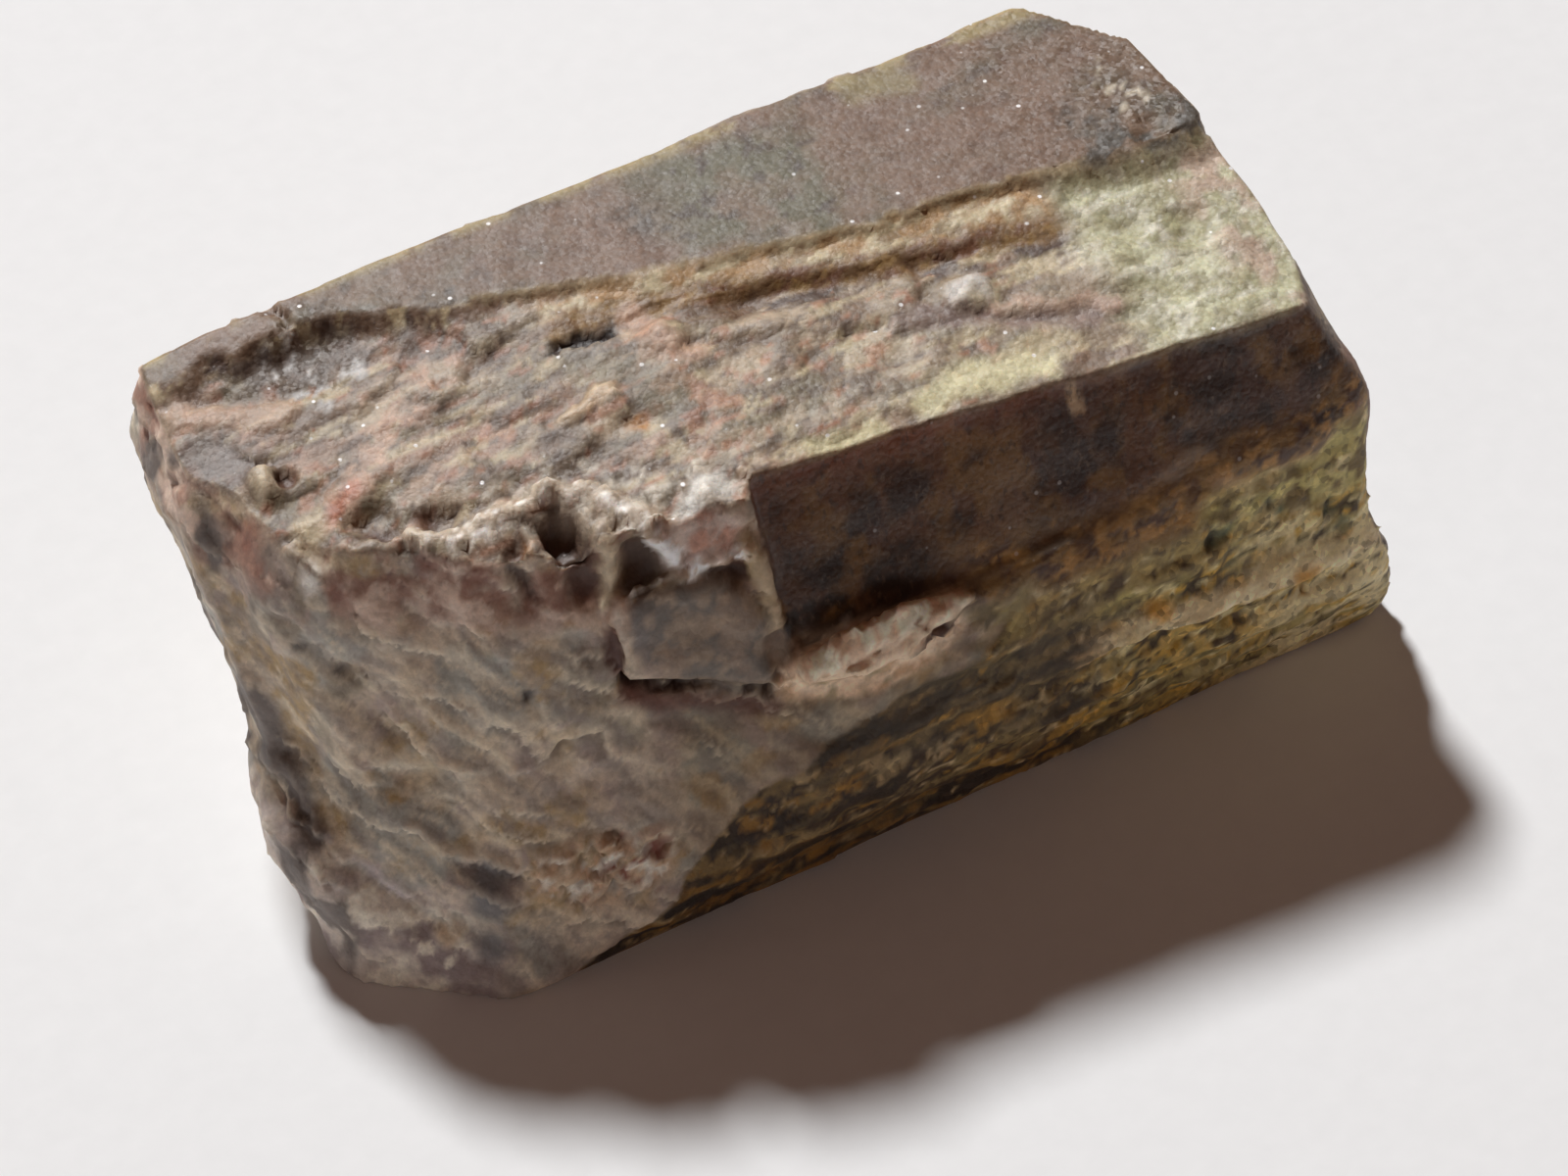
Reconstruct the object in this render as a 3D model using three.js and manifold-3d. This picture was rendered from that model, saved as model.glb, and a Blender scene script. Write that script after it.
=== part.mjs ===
// A broken apatite crystal lying on one of its prism faces: one solid, millimetres, +Z up.
// X runs along the crystal's long axis, -Y is the stepped front, +Z the top.
// The prism is cut from a block face by face, the broken end and the ledges are cut next,
// and the surface is then divided and pushed in and out by the relief of the stone.

import * as THREE from 'three';
import { mergeVertices } from 'three/addons/utils/BufferGeometryUtils.js';
import { TessellateModifier } from 'three/addons/modifiers/TessellateModifier.js';
import Module from 'manifold-3d';

const wasm = await Module();
wasm.setup();

// ---- driving dimensions, mm ----

const BLOCK_LENGTH = 44;
const BLOCK_DEPTH = 26;
const BLOCK_HEIGHT = 18;
const CUTTER_SIZE = 120;

// Prism faces. Each is a point on the face and the direction it faces.
const PRISM_FACES = {
  front_below_the_belly: { at: [0, -10.5, 0], facing: [0, -0.975, -0.222] },
  front_above_the_belly: { at: [0, -11.5, 4.4], facing: [0, -0.968, 0.252] },
  grey_top: { at: [2, 9, 16.6], facing: [0.01, 0.05, 0.998] },
  grey_top_left_end: { at: [-14.4, 9, 16.75], facing: [-0.14, 0, 0.99] },
  back_upper: { at: [0, 9.2, 16.6], facing: [-0.011, 0.945, 0.327] },
  back_lower: { at: [0, 11.6, 9], facing: [0, 0.836, -0.548] },
};

// Right end: a nearly square break with its corners knocked off.
const RIGHT_END_FACES = {
  break: { at: [20.55, -11, 3], facing: [0.988, 0, 0.155] },
  foot: { at: [20.45, -10.3, 0], facing: [0.93, -0.05, -0.2] },
  upper_break: { at: [18.5, -2.2, 16], facing: [0.925, -0.118, 0.37] },
  shoulder: { at: [17.4, -7.2, 15.9], facing: [0.8, -0.3, 0.52] },
  back_corner: { at: [18.4, 6, 16.6], facing: [0.77, 0.62, 0.15] },
  back_corner_side: { at: [18.4, 6, 16.6], facing: [0.98, 0.13, 0.15] },
};

// Left end: the big shell-like fracture, laid out as four flats that the relief rounds together.
const LEFT_END_FACES = {
  end: { at: [-19.8, 7.5, 10], facing: [-0.998, 0.05, 0.03] },
  end_back_corner: { at: [-20, 8, 14], facing: [-0.86, 0.5, 0] },
  outer_shell: { at: [-20.05, -7.3, 0], facing: [-0.828, -0.435, 0.354] },
  middle_shell: { at: [-16.5, -9.9, 0], facing: [-0.537, -0.733, 0.421] },
  inner_shell: { at: [-6, -10.2, 6.3], facing: [-0.238, -0.883, 0.403] },
  shell_run_out: { at: [2, -10.8, 8.0], facing: [-0.1, -0.93, 0.36] },
  under_corner: { at: [-19.6, -0.9, 3.3], facing: [-0.76, 0.44, -0.48] },
};

// Glassy face: a flake is gone from the upper front edge, between a wall at its left
// and the open right end, standing on a low ledge.
const FLAKE_WALL_AT = [-3.5, -8, 12];
const FLAKE_WALL_FACING = [1, -0.12, 0.1];
const FLAKE_TOP = [17.4, -7.2, 15.9];
const FLAKE_FACING = [-0.063, -0.861, 0.504];
const LEDGE_AT = [-4, -8.7, 10.7];
const LEDGE_FACING = [-0.065, -0.25, 0.966];

// Pale top: lower than the grey top by a step along the lip.
const LIP_LINE = [
  [-20.6, 8.2],
  [-17.7, 8.1],
  [-12.9, 7.4],
  [-8.9, 6],
  [-3.1, 4.2],
  [2.8, 2.6],
  [9.8, 1.9],
  [14.6, 1.2],
  [24, 1],
];
const PALE_RIDGE_X = -3.5;
const PALE_RIDGE_Z = 16.45;
const PALE_SLOPE_RIGHT = 0.028;
const PALE_SLOPE_LEFT = 0.085;
const PALE_LEAN = -0.045;
const PALE_RIDGE_Y = -5.5;
const PALE_REACH = 14;
const PALE_OVERHANG = 4;
const PALE_COLUMN_DROP = 3;

// Groove under the lip, deepest near the middle of the crystal.
const GROOVE_FROM = [-6.6, 3.2, 16.9];
const GROOVE_TO = [10.6, -1.2, 16.7];
const GROOVE_WIDTH = 1.5;
const GROOVE_DEPTH = 0.9;
const GROOVE_TILT = 0.35;
const BAR_SIDES = 6;

// A slab still standing proud of the fracture beside the flake wall, with a crevice beneath it.
const SLAB_MIDDLE = [-7, -7.5, 12.2];
const SLAB_BLOCK_SIZE = 7;
const SLAB_FACES = {
  face: { at: [-7, -6.8, 14.5], facing: [-0.238, -0.883, 0.403] },
  left: { at: [-9, -7, 12.7], facing: [-0.98, 0.1, 0.1] },
  top: { at: [-7.9, -6.5, 14.4], facing: [-0.15, 0.4, 0.9] },
  right: { at: [-5.75, -8.15, 12.2], facing: [0.843, 0.019, 0.539] },
  corner: { at: [-4.3, -9.3, 10.4], facing: [0.98, -0.1, -0.15] },
  bottom: { at: [-5.05, -9.3, 10.1], facing: [-0.383, -0.296, -0.875] },
};
const CREVICE_FROM = [-9.2, -7.3, 11];
const CREVICE_TO = [-4.9, -9.2, 9.7];
const CREVICE_WIDTH = 0.7;
const CREVICE_DEPTH = 0.6;

// A swelling along the ledge, at the foot of the glassy face.
const SWELLING_AT = [-1.1, -9.3, 10.2];
const SWELLING_SIZE = [6.6, 1.9, 1.7];
const SWELLING_TURN = [0, -0.05, -0.1];
const SWELLING_DETAIL = 2;

// Surface division and relief.
const LONGEST_EDGE = 1.9;
const DIVIDING_PASSES = 14;
const MERGE_DISTANCE = 0.002;
const GRAIN_DEPTH = 0.17;
const GRAIN_SIZE = 2.1;
const GRAIN_STRETCH = 1.7;
const SHELL_STRIKE_POINT = [-3.5, -5.5, 14.5];
const SHELL_RIPPLE_PITCH = 3.1;
const SHELL_RIPPLE_DEPTH = 0.2;
const SHELL_WANDER = 0.6;
const SHELL_WANDER_SIZE = 4;
const SHELL_FACES_LEFT = [0.2, 0.5];
const SHELL_FACES_FRONT = [0.1, 0.3];
const FRONT_LEDGE_PITCH = 1.9;
const FRONT_LEDGE_DEPTH = 0.2;
const FRONT_WANDER = 0.5;
const FRONT_WANDER_SIZE = 9;
const FRONT_FACES_FRONT = [0.8, 0.95];
const FOOT_FREE_OF_RELIEF = 0.9;

// How far each end stands out (+) or is hollowed (-): a height, then the distance.
const LEFT_END_PROFILE = [
  [0.7, -0.25],
  [1.9, 0.35],
  [3.2, 0.8],
  [4.1, 0.6],
  [5.2, 0.2],
  [6.2, -0.1],
  [7.2, -0.4],
  [8.2, -0.1],
  [10.8, 0.2],
  [12.2, 0.5],
  [13.4, 0.7],
  [14.6, 0.4],
  [15.6, 0],
];
const RIGHT_END_PROFILE = [
  [2.7, -0.1],
  [3.4, -0.2],
  [5.5, -0.55],
  [6.7, -0.85],
  [8.4, -0.65],
  [10.2, 0.05],
  [12.2, 0.25],
  [13.5, 0],
];
const END_FACES_END = [0.45, 0.75];

const STONE_COLOUR = 0x8a7a68;
const STONE_ROUGHNESS = 0.6;

// ---- joining and cutting ----

// A closed body for joining and cutting, from any closed geometry.
function solidOf(geometry) {
  const bare = geometry.clone();
  bare.deleteAttribute('normal');
  bare.deleteAttribute('uv');
  const welded = mergeVertices(bare);
  const mesh = new wasm.Mesh({
    numProp: 3,
    vertProperties: new Float32Array(welded.attributes.position.array),
    triVerts: new Uint32Array(welded.index.array),
  });
  return new wasm.Manifold(mesh);
}

// The geometry of a body, with flat facets.
function geometryOf(body) {
  const mesh = body.getMesh();
  const geometry = new THREE.BufferGeometry();
  const positions = new Float32Array(mesh.numVert * 3);
  for (let i = 0; i < mesh.numVert; i += 1) {
    for (let axis = 0; axis < 3; axis += 1) {
      positions[3 * i + axis] = mesh.vertProperties[mesh.numProp * i + axis];
    }
  }
  geometry.setAttribute('position', new THREE.BufferAttribute(positions, 3));
  geometry.setIndex(Array.from(mesh.triVerts));
  return geometry;
}

// Everything on the far side of a plane, as a big block standing on it.
function halfSpace(at, facing) {
  const block = new THREE.BoxGeometry(CUTTER_SIZE, CUTTER_SIZE, CUTTER_SIZE);
  block.translate(0, 0, CUTTER_SIZE / 2);
  const up = new THREE.Vector3(0, 0, 1);
  const direction = new THREE.Vector3(...facing).normalize();
  const turn = new THREE.Quaternion().setFromUnitVectors(up, direction);
  block.applyQuaternion(turn);
  block.translate(...at);
  return solidOf(block);
}

function cutFaces(body, faces) {
  let cut = body;
  for (const face of Object.values(faces)) {
    cut = cut.subtract(halfSpace(face.at, face.facing));
  }
  return cut;
}

// ---- the parts of the shape ----

function prism() {
  const block = new THREE.BoxGeometry(BLOCK_LENGTH, BLOCK_DEPTH, BLOCK_HEIGHT);
  block.translate(0, 0, BLOCK_HEIGHT / 2);
  return cutFaces(solidOf(block), PRISM_FACES);
}

// The flake missing above the ledge: outside the glassy face, above the ledge, right of the wall.
function missingFlake() {
  const outside = halfSpace(FLAKE_TOP, FLAKE_FACING);
  const above = halfSpace(LEDGE_AT, LEDGE_FACING);
  const rightOfWall = halfSpace(FLAKE_WALL_AT, FLAKE_WALL_FACING);
  return outside.intersect(above).intersect(rightOfWall);
}

// Plan of everything in front of the lip, drawn as seen from above.
function planInFrontOfLip() {
  const plan = new THREE.Shape();
  plan.moveTo(...LIP_LINE[0]);
  for (const corner of LIP_LINE.slice(1)) {
    plan.lineTo(...corner);
  }
  plan.lineTo(LIP_LINE.at(-1)[0], -PALE_REACH);
  plan.lineTo(LIP_LINE[0][0] - PALE_OVERHANG, -PALE_REACH);
  plan.lineTo(LIP_LINE[0][0] - PALE_OVERHANG, LIP_LINE[0][1]);
  plan.closePath();
  return plan;
}

// What stood above the pale top: it falls away to both sides of a low ridge across the crystal.
function abovePaleTop() {
  const plan = planInFrontOfLip();
  const column = new THREE.ExtrudeGeometry(plan, { depth: BLOCK_HEIGHT, bevelEnabled: false });
  column.translate(0, 0, PALE_RIDGE_Z - PALE_COLUMN_DROP);
  const ridge = [PALE_RIDGE_X, PALE_RIDGE_Y, PALE_RIDGE_Z];
  const overRight = halfSpace(ridge, [PALE_SLOPE_RIGHT, PALE_LEAN, 1]);
  const overLeft = halfSpace(ridge, [-PALE_SLOPE_LEFT, PALE_LEAN, 1]);
  const left = halfSpace(ridge, [-1, 0, 0]).intersect(overLeft);
  const right = halfSpace(ridge, [1, 0, 0]).intersect(overRight);
  return solidOf(column).intersect(left.add(right));
}

// A six-sided bar between two points, for grooves.
function bar(from, to, width, depth, tilt) {
  const start = new THREE.Vector3(...from);
  const end = new THREE.Vector3(...to);
  const length = start.distanceTo(end);
  const rod = new THREE.CylinderGeometry(1, 1, length, BAR_SIDES, 1);
  rod.scale(width / 2, 1, depth);
  rod.rotateY(tilt);
  const along = end.clone().sub(start).normalize();
  const turn = new THREE.Quaternion().setFromUnitVectors(new THREE.Vector3(0, 1, 0), along);
  rod.applyQuaternion(turn);
  const middle = start.add(end).multiplyScalar(0.5);
  rod.translate(middle.x, middle.y, middle.z);
  return solidOf(rod);
}

// Turns a geometry about X, then Y, then Z, and puts it in its place.
function placed(geometry, turn, at) {
  geometry.rotateX(turn[0]);
  geometry.rotateY(turn[1]);
  geometry.rotateZ(turn[2]);
  geometry.translate(...at);
  return solidOf(geometry);
}

function slab() {
  const block = new THREE.BoxGeometry(SLAB_BLOCK_SIZE, SLAB_BLOCK_SIZE, SLAB_BLOCK_SIZE);
  block.translate(...SLAB_MIDDLE);
  return cutFaces(solidOf(block), SLAB_FACES);
}

function crevice() {
  return bar(CREVICE_FROM, CREVICE_TO, CREVICE_WIDTH, CREVICE_DEPTH, 0);
}

function swelling() {
  const lump = new THREE.IcosahedronGeometry(0.5, SWELLING_DETAIL);
  lump.scale(...SWELLING_SIZE);
  return placed(lump, SWELLING_TURN, SWELLING_AT);
}

// ---- relief of the stone ----

function hash(x, y, z) {
  const mixed = Math.sin(x * 127.1 + y * 311.7 + z * 74.7) * 43758.5453;
  return mixed - Math.floor(mixed);
}

function ease(t) {
  return t * t * (3 - 2 * t);
}

// Smooth noise between -1 and 1, one bump per unit.
function noise(x, y, z) {
  const cell = [Math.floor(x), Math.floor(y), Math.floor(z)];
  const inside = [ease(x - cell[0]), ease(y - cell[1]), ease(z - cell[2])];
  let sum = 0;
  for (let corner = 0; corner < 8; corner += 1) {
    const step = [corner & 1, (corner >> 1) & 1, (corner >> 2) & 1];
    let weight = 1;
    for (let axis = 0; axis < 3; axis += 1) {
      weight *= step[axis] ? inside[axis] : 1 - inside[axis];
    }
    sum += weight * hash(cell[0] + step[0], cell[1] + step[1], cell[2] + step[2]);
  }
  return 2 * sum - 1;
}

function smoothStep(low, high, value) {
  const t = Math.min(Math.max((value - low) / (high - low), 0), 1);
  return ease(t);
}

// Lumps of the stone, stretched along the crystal.
function grain(p) {
  const size = GRAIN_SIZE;
  return GRAIN_DEPTH * noise(p.x / (GRAIN_STRETCH * size), p.y / size, p.z / size);
}

// Ripples that spread from the strike point over the fracture.
function shellRipples(p, facing) {
  const onShell = smoothStep(...SHELL_FACES_LEFT, -facing.x) * smoothStep(...SHELL_FACES_FRONT, -facing.y);
  const strike = new THREE.Vector3(...SHELL_STRIKE_POINT);
  const size = SHELL_WANDER_SIZE;
  const radius = strike.distanceTo(p) + SHELL_WANDER * noise(p.x / size, p.y / size, p.z / size);
  return onShell * SHELL_RIPPLE_DEPTH * Math.sin((2 * Math.PI * radius) / SHELL_RIPPLE_PITCH);
}

// Long ledges that run with the crystal along its front.
function frontLedges(p, facing) {
  const onFront = smoothStep(...FRONT_FACES_FRONT, -facing.y);
  const level = p.z + FRONT_WANDER * noise(p.x / FRONT_WANDER_SIZE, 0, 0);
  return onFront * FRONT_LEDGE_DEPTH * Math.sin((2 * Math.PI * level) / FRONT_LEDGE_PITCH);
}

// The distance that a profile gives at a height, between its listed heights by straight lines.
function alongProfile(profile, height) {
  const next = profile.findIndex(([level]) => level > height);
  if (next === -1) {
    return profile.at(-1)[1];
  }
  if (next === 0) {
    return profile[0][1];
  }
  const [low, lowPush] = profile[next - 1];
  const [high, highPush] = profile[next];
  return lowPush + ((highPush - lowPush) * (height - low)) / (high - low);
}

// The bulges and hollows of the two broken ends.
function endProfiles(p, facing) {
  const onLeft = smoothStep(...END_FACES_END, -facing.x) * alongProfile(LEFT_END_PROFILE, p.z);
  const onRight = smoothStep(...END_FACES_END, facing.x) * alongProfile(RIGHT_END_PROFILE, p.z);
  return onLeft + onRight;
}

function relief(p, facing) {
  const aboveFoot = smoothStep(0, FOOT_FREE_OF_RELIEF, p.z);
  const push = grain(p) + shellRipples(p, facing) + frontLedges(p, facing) + endProfiles(p, facing);
  return aboveFoot * push;
}

// Divides a body's facets until no edge is longer than LONGEST_EDGE, and welds it again.
function divided(geometry) {
  const loose = geometry.toNonIndexed();
  const finer = new TessellateModifier(LONGEST_EDGE, DIVIDING_PASSES).modify(loose);
  finer.deleteAttribute('normal');
  return mergeVertices(finer, MERGE_DISTANCE);
}

// Pushes every point of a welded geometry along its own facing by the relief there.
function raised(geometry) {
  geometry.computeVertexNormals();
  const positions = geometry.attributes.position;
  const normals = geometry.attributes.normal;
  const moved = [];
  for (let i = 0; i < positions.count; i += 1) {
    const p = new THREE.Vector3().fromBufferAttribute(positions, i);
    const facing = new THREE.Vector3().fromBufferAttribute(normals, i);
    moved.push(p.clone().addScaledVector(facing, relief(p, facing)));
  }
  moved.forEach((p, i) => positions.setXYZ(i, p.x, p.y, Math.max(p.z, 0)));
  geometry.computeVertexNormals();
  return geometry;
}

// Puts the middle of the underside at the origin.
function centred(geometry) {
  geometry.computeBoundingBox();
  const middle = new THREE.Vector3();
  geometry.boundingBox.getCenter(middle);
  geometry.translate(-middle.x, -middle.y, -geometry.boundingBox.min.z);
  return geometry;
}

function crystalBody() {
  let body = prism();
  body = body.subtract(abovePaleTop());
  body = cutFaces(body, RIGHT_END_FACES);
  body = cutFaces(body, LEFT_END_FACES);
  body = body.subtract(missingFlake());
  body = body.subtract(bar(GROOVE_FROM, GROOVE_TO, GROOVE_WIDTH, GROOVE_DEPTH, GROOVE_TILT));
  body = body.subtract(crevice());
  return body.add(slab()).add(swelling());
}

function apatiteCrystal() {
  const geometry = centred(raised(divided(geometryOf(crystalBody()))));
  const stone = new THREE.MeshStandardMaterial({
    color: STONE_COLOUR,
    roughness: STONE_ROUGHNESS,
    metalness: 0,
  });
  const mesh = new THREE.Mesh(geometry, stone);
  mesh.name = 'apatite_crystal';
  return mesh;
}

const group = new THREE.Group();
group.name = 'apatite';
group.add(apatiteCrystal());

export default group;
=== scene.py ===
# %% [markdown]
# # A broken apatite crystal
# The object is one piece of stone: a stubby six-sided prism that has lost one end to a big
# shell-like fracture and a flake to a dark glassy face. The solid model gives its size and its
# flats. This notebook takes a copy of that solid, works the surface of the stone into it, and
# gives each kind of surface its own colours and gloss.

import itertools
import math

import bpy
import numpy as np
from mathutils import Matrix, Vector


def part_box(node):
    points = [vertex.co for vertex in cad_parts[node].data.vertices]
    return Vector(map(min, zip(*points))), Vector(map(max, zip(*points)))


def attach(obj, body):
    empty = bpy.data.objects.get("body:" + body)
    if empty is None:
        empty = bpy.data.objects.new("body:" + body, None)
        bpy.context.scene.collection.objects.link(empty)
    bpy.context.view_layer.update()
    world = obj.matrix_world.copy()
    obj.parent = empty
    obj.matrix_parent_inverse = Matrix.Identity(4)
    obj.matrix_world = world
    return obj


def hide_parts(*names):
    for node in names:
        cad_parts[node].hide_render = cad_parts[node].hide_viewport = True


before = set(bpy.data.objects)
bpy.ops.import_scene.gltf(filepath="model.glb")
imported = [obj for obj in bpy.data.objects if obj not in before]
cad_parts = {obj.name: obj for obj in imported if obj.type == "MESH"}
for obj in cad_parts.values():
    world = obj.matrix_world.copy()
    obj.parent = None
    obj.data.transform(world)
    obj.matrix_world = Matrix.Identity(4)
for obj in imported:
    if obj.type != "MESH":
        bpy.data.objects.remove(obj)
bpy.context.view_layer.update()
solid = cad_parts["apatite_crystal"]
low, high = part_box("apatite_crystal")
print("solid, mm:", [round(1000 * (high - low)[axis], 1) for axis in range(3)])

# %% [markdown]
# ## A stone to carve
# The solid is made of facets a millimetre or two across, which is too coarse for grain and small
# ledges. A voxel remesh lays an even net of small squares over a copy of it, as clay would be laid
# over an armature. The copy is merged first, because the solid's facets are loose. The work is done
# at a thousand times the size, so that one unit is a millimetre and every number can be read as one,
# and places are measured from a mark on the base a little right of the middle and in front of it.

# %% Copy, merge and remesh
NET_SIZE = 0.203
MM = 1000.0
MARK = np.array((0.23, -0.13, 0.0))


def only(piece):
    """Selects one piece and nothing else."""
    bpy.ops.object.select_all(action="DESELECT")
    piece.select_set(True)
    bpy.context.view_layer.objects.active = piece


def apply_modifier(piece, kind, **settings):
    """Adds a modifier, sets it and applies it."""
    only(piece)
    modifier = piece.modifiers.new(kind.title(), kind)
    for name, value in settings.items():
        setattr(modifier, name, value)
    bpy.ops.object.modifier_apply(modifier=modifier.name)


stone = bpy.data.objects.new("apatite_stone", solid.data.copy())
bpy.context.scene.collection.objects.link(stone)
stone.data.materials.clear()
only(stone)
bpy.ops.transform.resize(value=(MM, MM, MM))
bpy.ops.transform.translate(value=-MARK)
bpy.ops.object.transform_apply(location=True, rotation=False, scale=True)
apply_modifier(stone, "WELD", merge_threshold=0.002)
apply_modifier(stone, "REMESH", mode="VOXEL", voxel_size=NET_SIZE, adaptivity=0.0)
apply_modifier(stone, "CORRECTIVE_SMOOTH", factor=0.6, iterations=4, use_only_smooth=True)
print("net:", len(stone.data.vertices), "points,", len(stone.data.polygons), "squares")

# %% [markdown]
# ## Tools for stone
# Natural surfaces are built from a few kinds of irregularity. The first is lumps, from smooth noise
# at several sizes. Each tool takes every point of the stone at once, which keeps it quick, and a seed
# gives the same stone each time.

# %% Noise
def lattice(cells, seed):
    """A repeatable random number from -1 to 1 for each cell; the big numbers scatter its bits."""
    x, y, z = (cells[:, axis].astype(np.int64) for axis in range(3))
    mixed = (x * 73856093) ^ (y * 19349663) ^ (z * 83492791) ^ (seed * 2654435761)
    mixed = (mixed ^ (mixed >> 13)) * 1274126177 & 0x7FFFFFFF
    mixed = (mixed ^ (mixed >> 16)) * 668265263 & 0x7FFFFFFF
    return (mixed ^ (mixed >> 15)) / float(0x7FFFFFFF) * 2 - 1


def noise(at, size, seed):
    """Smooth noise, one lump per size; size is a number or one number for each direction."""
    scaled = at / np.broadcast_to(np.asarray(size, float), (3,))
    cells = np.floor(scaled)
    inside = scaled - cells
    blend = inside * inside * (3 - 2 * inside)
    total = np.zeros(len(at))
    for step in itertools.product((0, 1), repeat=3):
        weight = np.prod(np.where(step, blend, 1 - blend), axis=1)
        total += weight * lattice(cells + step, seed)
    return total


def lumps(at, size, seed, rounds=3):
    """Noise in several sizes, each half the last in size and strength."""
    total, strength, reach = np.zeros(len(at)), 1.0, np.asarray(size, float)
    for octave in range(rounds):
        total += strength * noise(at, reach, seed + octave)
        strength, reach = strength / 2, reach / 2
    return total


print("noise at three places:", noise(np.array([[0.3, 0, 0], [0.6, 0, 0], [0.9, 0, 0]]), 1, 0).round(2))

# %% [markdown]
# Chips are flat-sided cells, each with its own height and slant, so that one ends at the next in a
# sharp step, as broken stone does. A soft ramp between two levels is the last of these tools.

# %% Chips and ramps
def chips(at, size, seed, slant=0.9):
    """Flat-sided chips, each with its own height and slant and a sharp step to the next."""
    scaled = at / np.broadcast_to(np.asarray(size, float), (3,))
    home = np.floor(scaled - 0.5)
    nearest = np.full(len(at), 1e9)
    height = np.zeros(len(at))
    for step in itertools.product((0, 1), repeat=3):
        cell = home + step
        middle = cell + 0.5 + 0.4 * np.stack([lattice(cell, seed + k) for k in (0, 1, 2)], 1)
        offset = scaled - middle
        distance = (offset * offset).sum(1)
        lean = np.stack([lattice(cell, seed + k) for k in (3, 4, 5)], 1)
        level = lattice(cell, seed + 6) + slant * (offset * lean).sum(1)
        height = np.where(distance < nearest, level, height)
        nearest = np.minimum(distance, nearest)
    return height


def rise(start, end, value):
    """0 before start, 1 after end, with a soft ramp between."""
    t = np.clip((value - start) / (end - start), 0, 1)
    return t * t * (3 - 2 * t)


def fall(start, end, value):
    """1 before start, 0 after end."""
    return 1 - rise(start, end, value)


# %% [markdown]
# A feature with a place of its own, such as a pit, a crack or a ledge, is a weight that is one at
# its middle and fades with distance. The distances are measured from places that have been jostled
# a little, so that no spot is round and no line is straight.

# %% Spots, lines and ledges
def beyond(at, point, facing):
    """How far each place is on the outer side of a plane."""
    facing = np.asarray(facing, float)
    return (at - np.asarray(point, float)) @ (facing / np.linalg.norm(facing))


def jostled(at, amount, size, seed):
    """Places moved a little at random, so that what is measured from them is ragged."""
    moves = [lumps(at, size, seed + 10 * axis) for axis in range(3)]
    return at + amount * np.stack(moves, 1)


def spot(at, middle, radius, soft=0.4, stretch=(1, 1, 1)):
    """1 inside a ball round a middle, 0 outside; stretch lengthens it along an axis."""
    reach = np.linalg.norm((at - np.asarray(middle, float)) / np.asarray(stretch, float), axis=1)
    return fall(radius * (1 - soft), radius * (1 + soft), reach)


def from_line(at, line):
    """How far each place is from a line through several points, and in which direction."""
    gap = np.full(len(at), 1e9)
    away = np.zeros((len(at), 3))
    for start, end in zip(line[:-1], line[1:]):
        start, run = np.asarray(start, float), np.subtract(end, start).astype(float)
        t = np.clip((at - start) @ run / (run @ run), 0, 1)
        offset = at - start - t[:, None] * run
        distance = np.linalg.norm(offset, axis=1)
        away = np.where((distance < gap)[:, None], offset, away)
        gap = np.minimum(distance, gap)
    return gap, away


def along(at, line, width, soft=0.5):
    """1 on a line, 0 further off than its width."""
    gap, _ = from_line(at, line)
    return fall(width * (1 - soft), width * (1 + soft), gap)


def ledge(at, line, down, drop, reach):
    """A small cliff along a line: the full drop just below it, easing back within reach."""
    gap, away = from_line(at, line)
    below = rise(-0.06, 0.1, away @ np.asarray(down, float))
    return -drop * below * fall(0, reach, gap)


# %% [markdown]
# The stone's points are read as one table of places and one of the ways they face. Two copies of
# the places are jostled, one a little and one finely, and features are measured from those.

# %% Read the points
def read(piece, layer):
    """A table of a piece's places or of the ways its points face."""
    values = np.empty(len(piece.data.vertices) * 3)
    key = {"vertices": "co", "vertex_normals": "vector"}[layer]
    getattr(piece.data, layer).foreach_get(key, values)
    return values.reshape(-1, 3)


def write(piece, at):
    """Moves a piece's points to a table of places."""
    piece.data.vertices.foreach_set("co", at.ravel())
    piece.data.update()


at = read(stone, "vertices")
facing = read(stone, "vertex_normals")
x, y, z = at.T
ragged = jostled(at, 0.3, 1.3, 100)
frayed = jostled(at, 0.12, 0.45, 140)
print("places, mm:", at.min(0).round(1), at.max(0).round(1))

# %% [markdown]
# ## Which surface is where
# The stone shows six kinds of surface: a frosted grey top, a pale ragged band in front of it, a
# dark glassy face, an ochre front that is ribbed along the crystal, the fracture at the left, and
# the weathered back and ends. Each is a weight for every point, worked out from where the point
# lies and which way it faces. The borders are lines on the crystal, roughened with noise.

# %% Borders
LIP_X = [-22, -17.5, -12.8, -9, -5.9, -3.2, -1.2, 2.6, 6, 9.7, 14.7, 22]
LIP_Y = [8.2, 8.1, 7.4, 5.9, 5.1, 4.2, 3.8, 2.7, 2.4, 1.9, 1.2, 1.0]
STRIP_X = [-6.6, -5.2, -3.1, -1.8, 0.3, 3.3, 4.9, 6.9, 8.5, 10.6, 11.8]
STRIP_Y = [3.4, 3.4, 3.0, 2.6, 2.2, 1.3, 0.75, 0.5, 0.15, -0.35, -0.2]
GLASS_FOOT_X = [-4, 1.8, 4.9, 8.7, 10.6, 12, 16.6, 17.4, 19]
GLASS_FOOT_Z = [10.8, 10.9, 10.1, 9.7, 10.0, 10.5, 10.5, 11.3, 12]
OCHRE_TOP_X = [-15.5, -12.7, -10.5, -8.6, -7.2, -5.3, -2.8, -0.4, 2.4, 5.5, 8]
OCHRE_TOP_Z = [-0.5, 0.6, 1.9, 3.9, 5.0, 6.3, 7.2, 8.1, 8.4, 9.5, 14]

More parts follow.
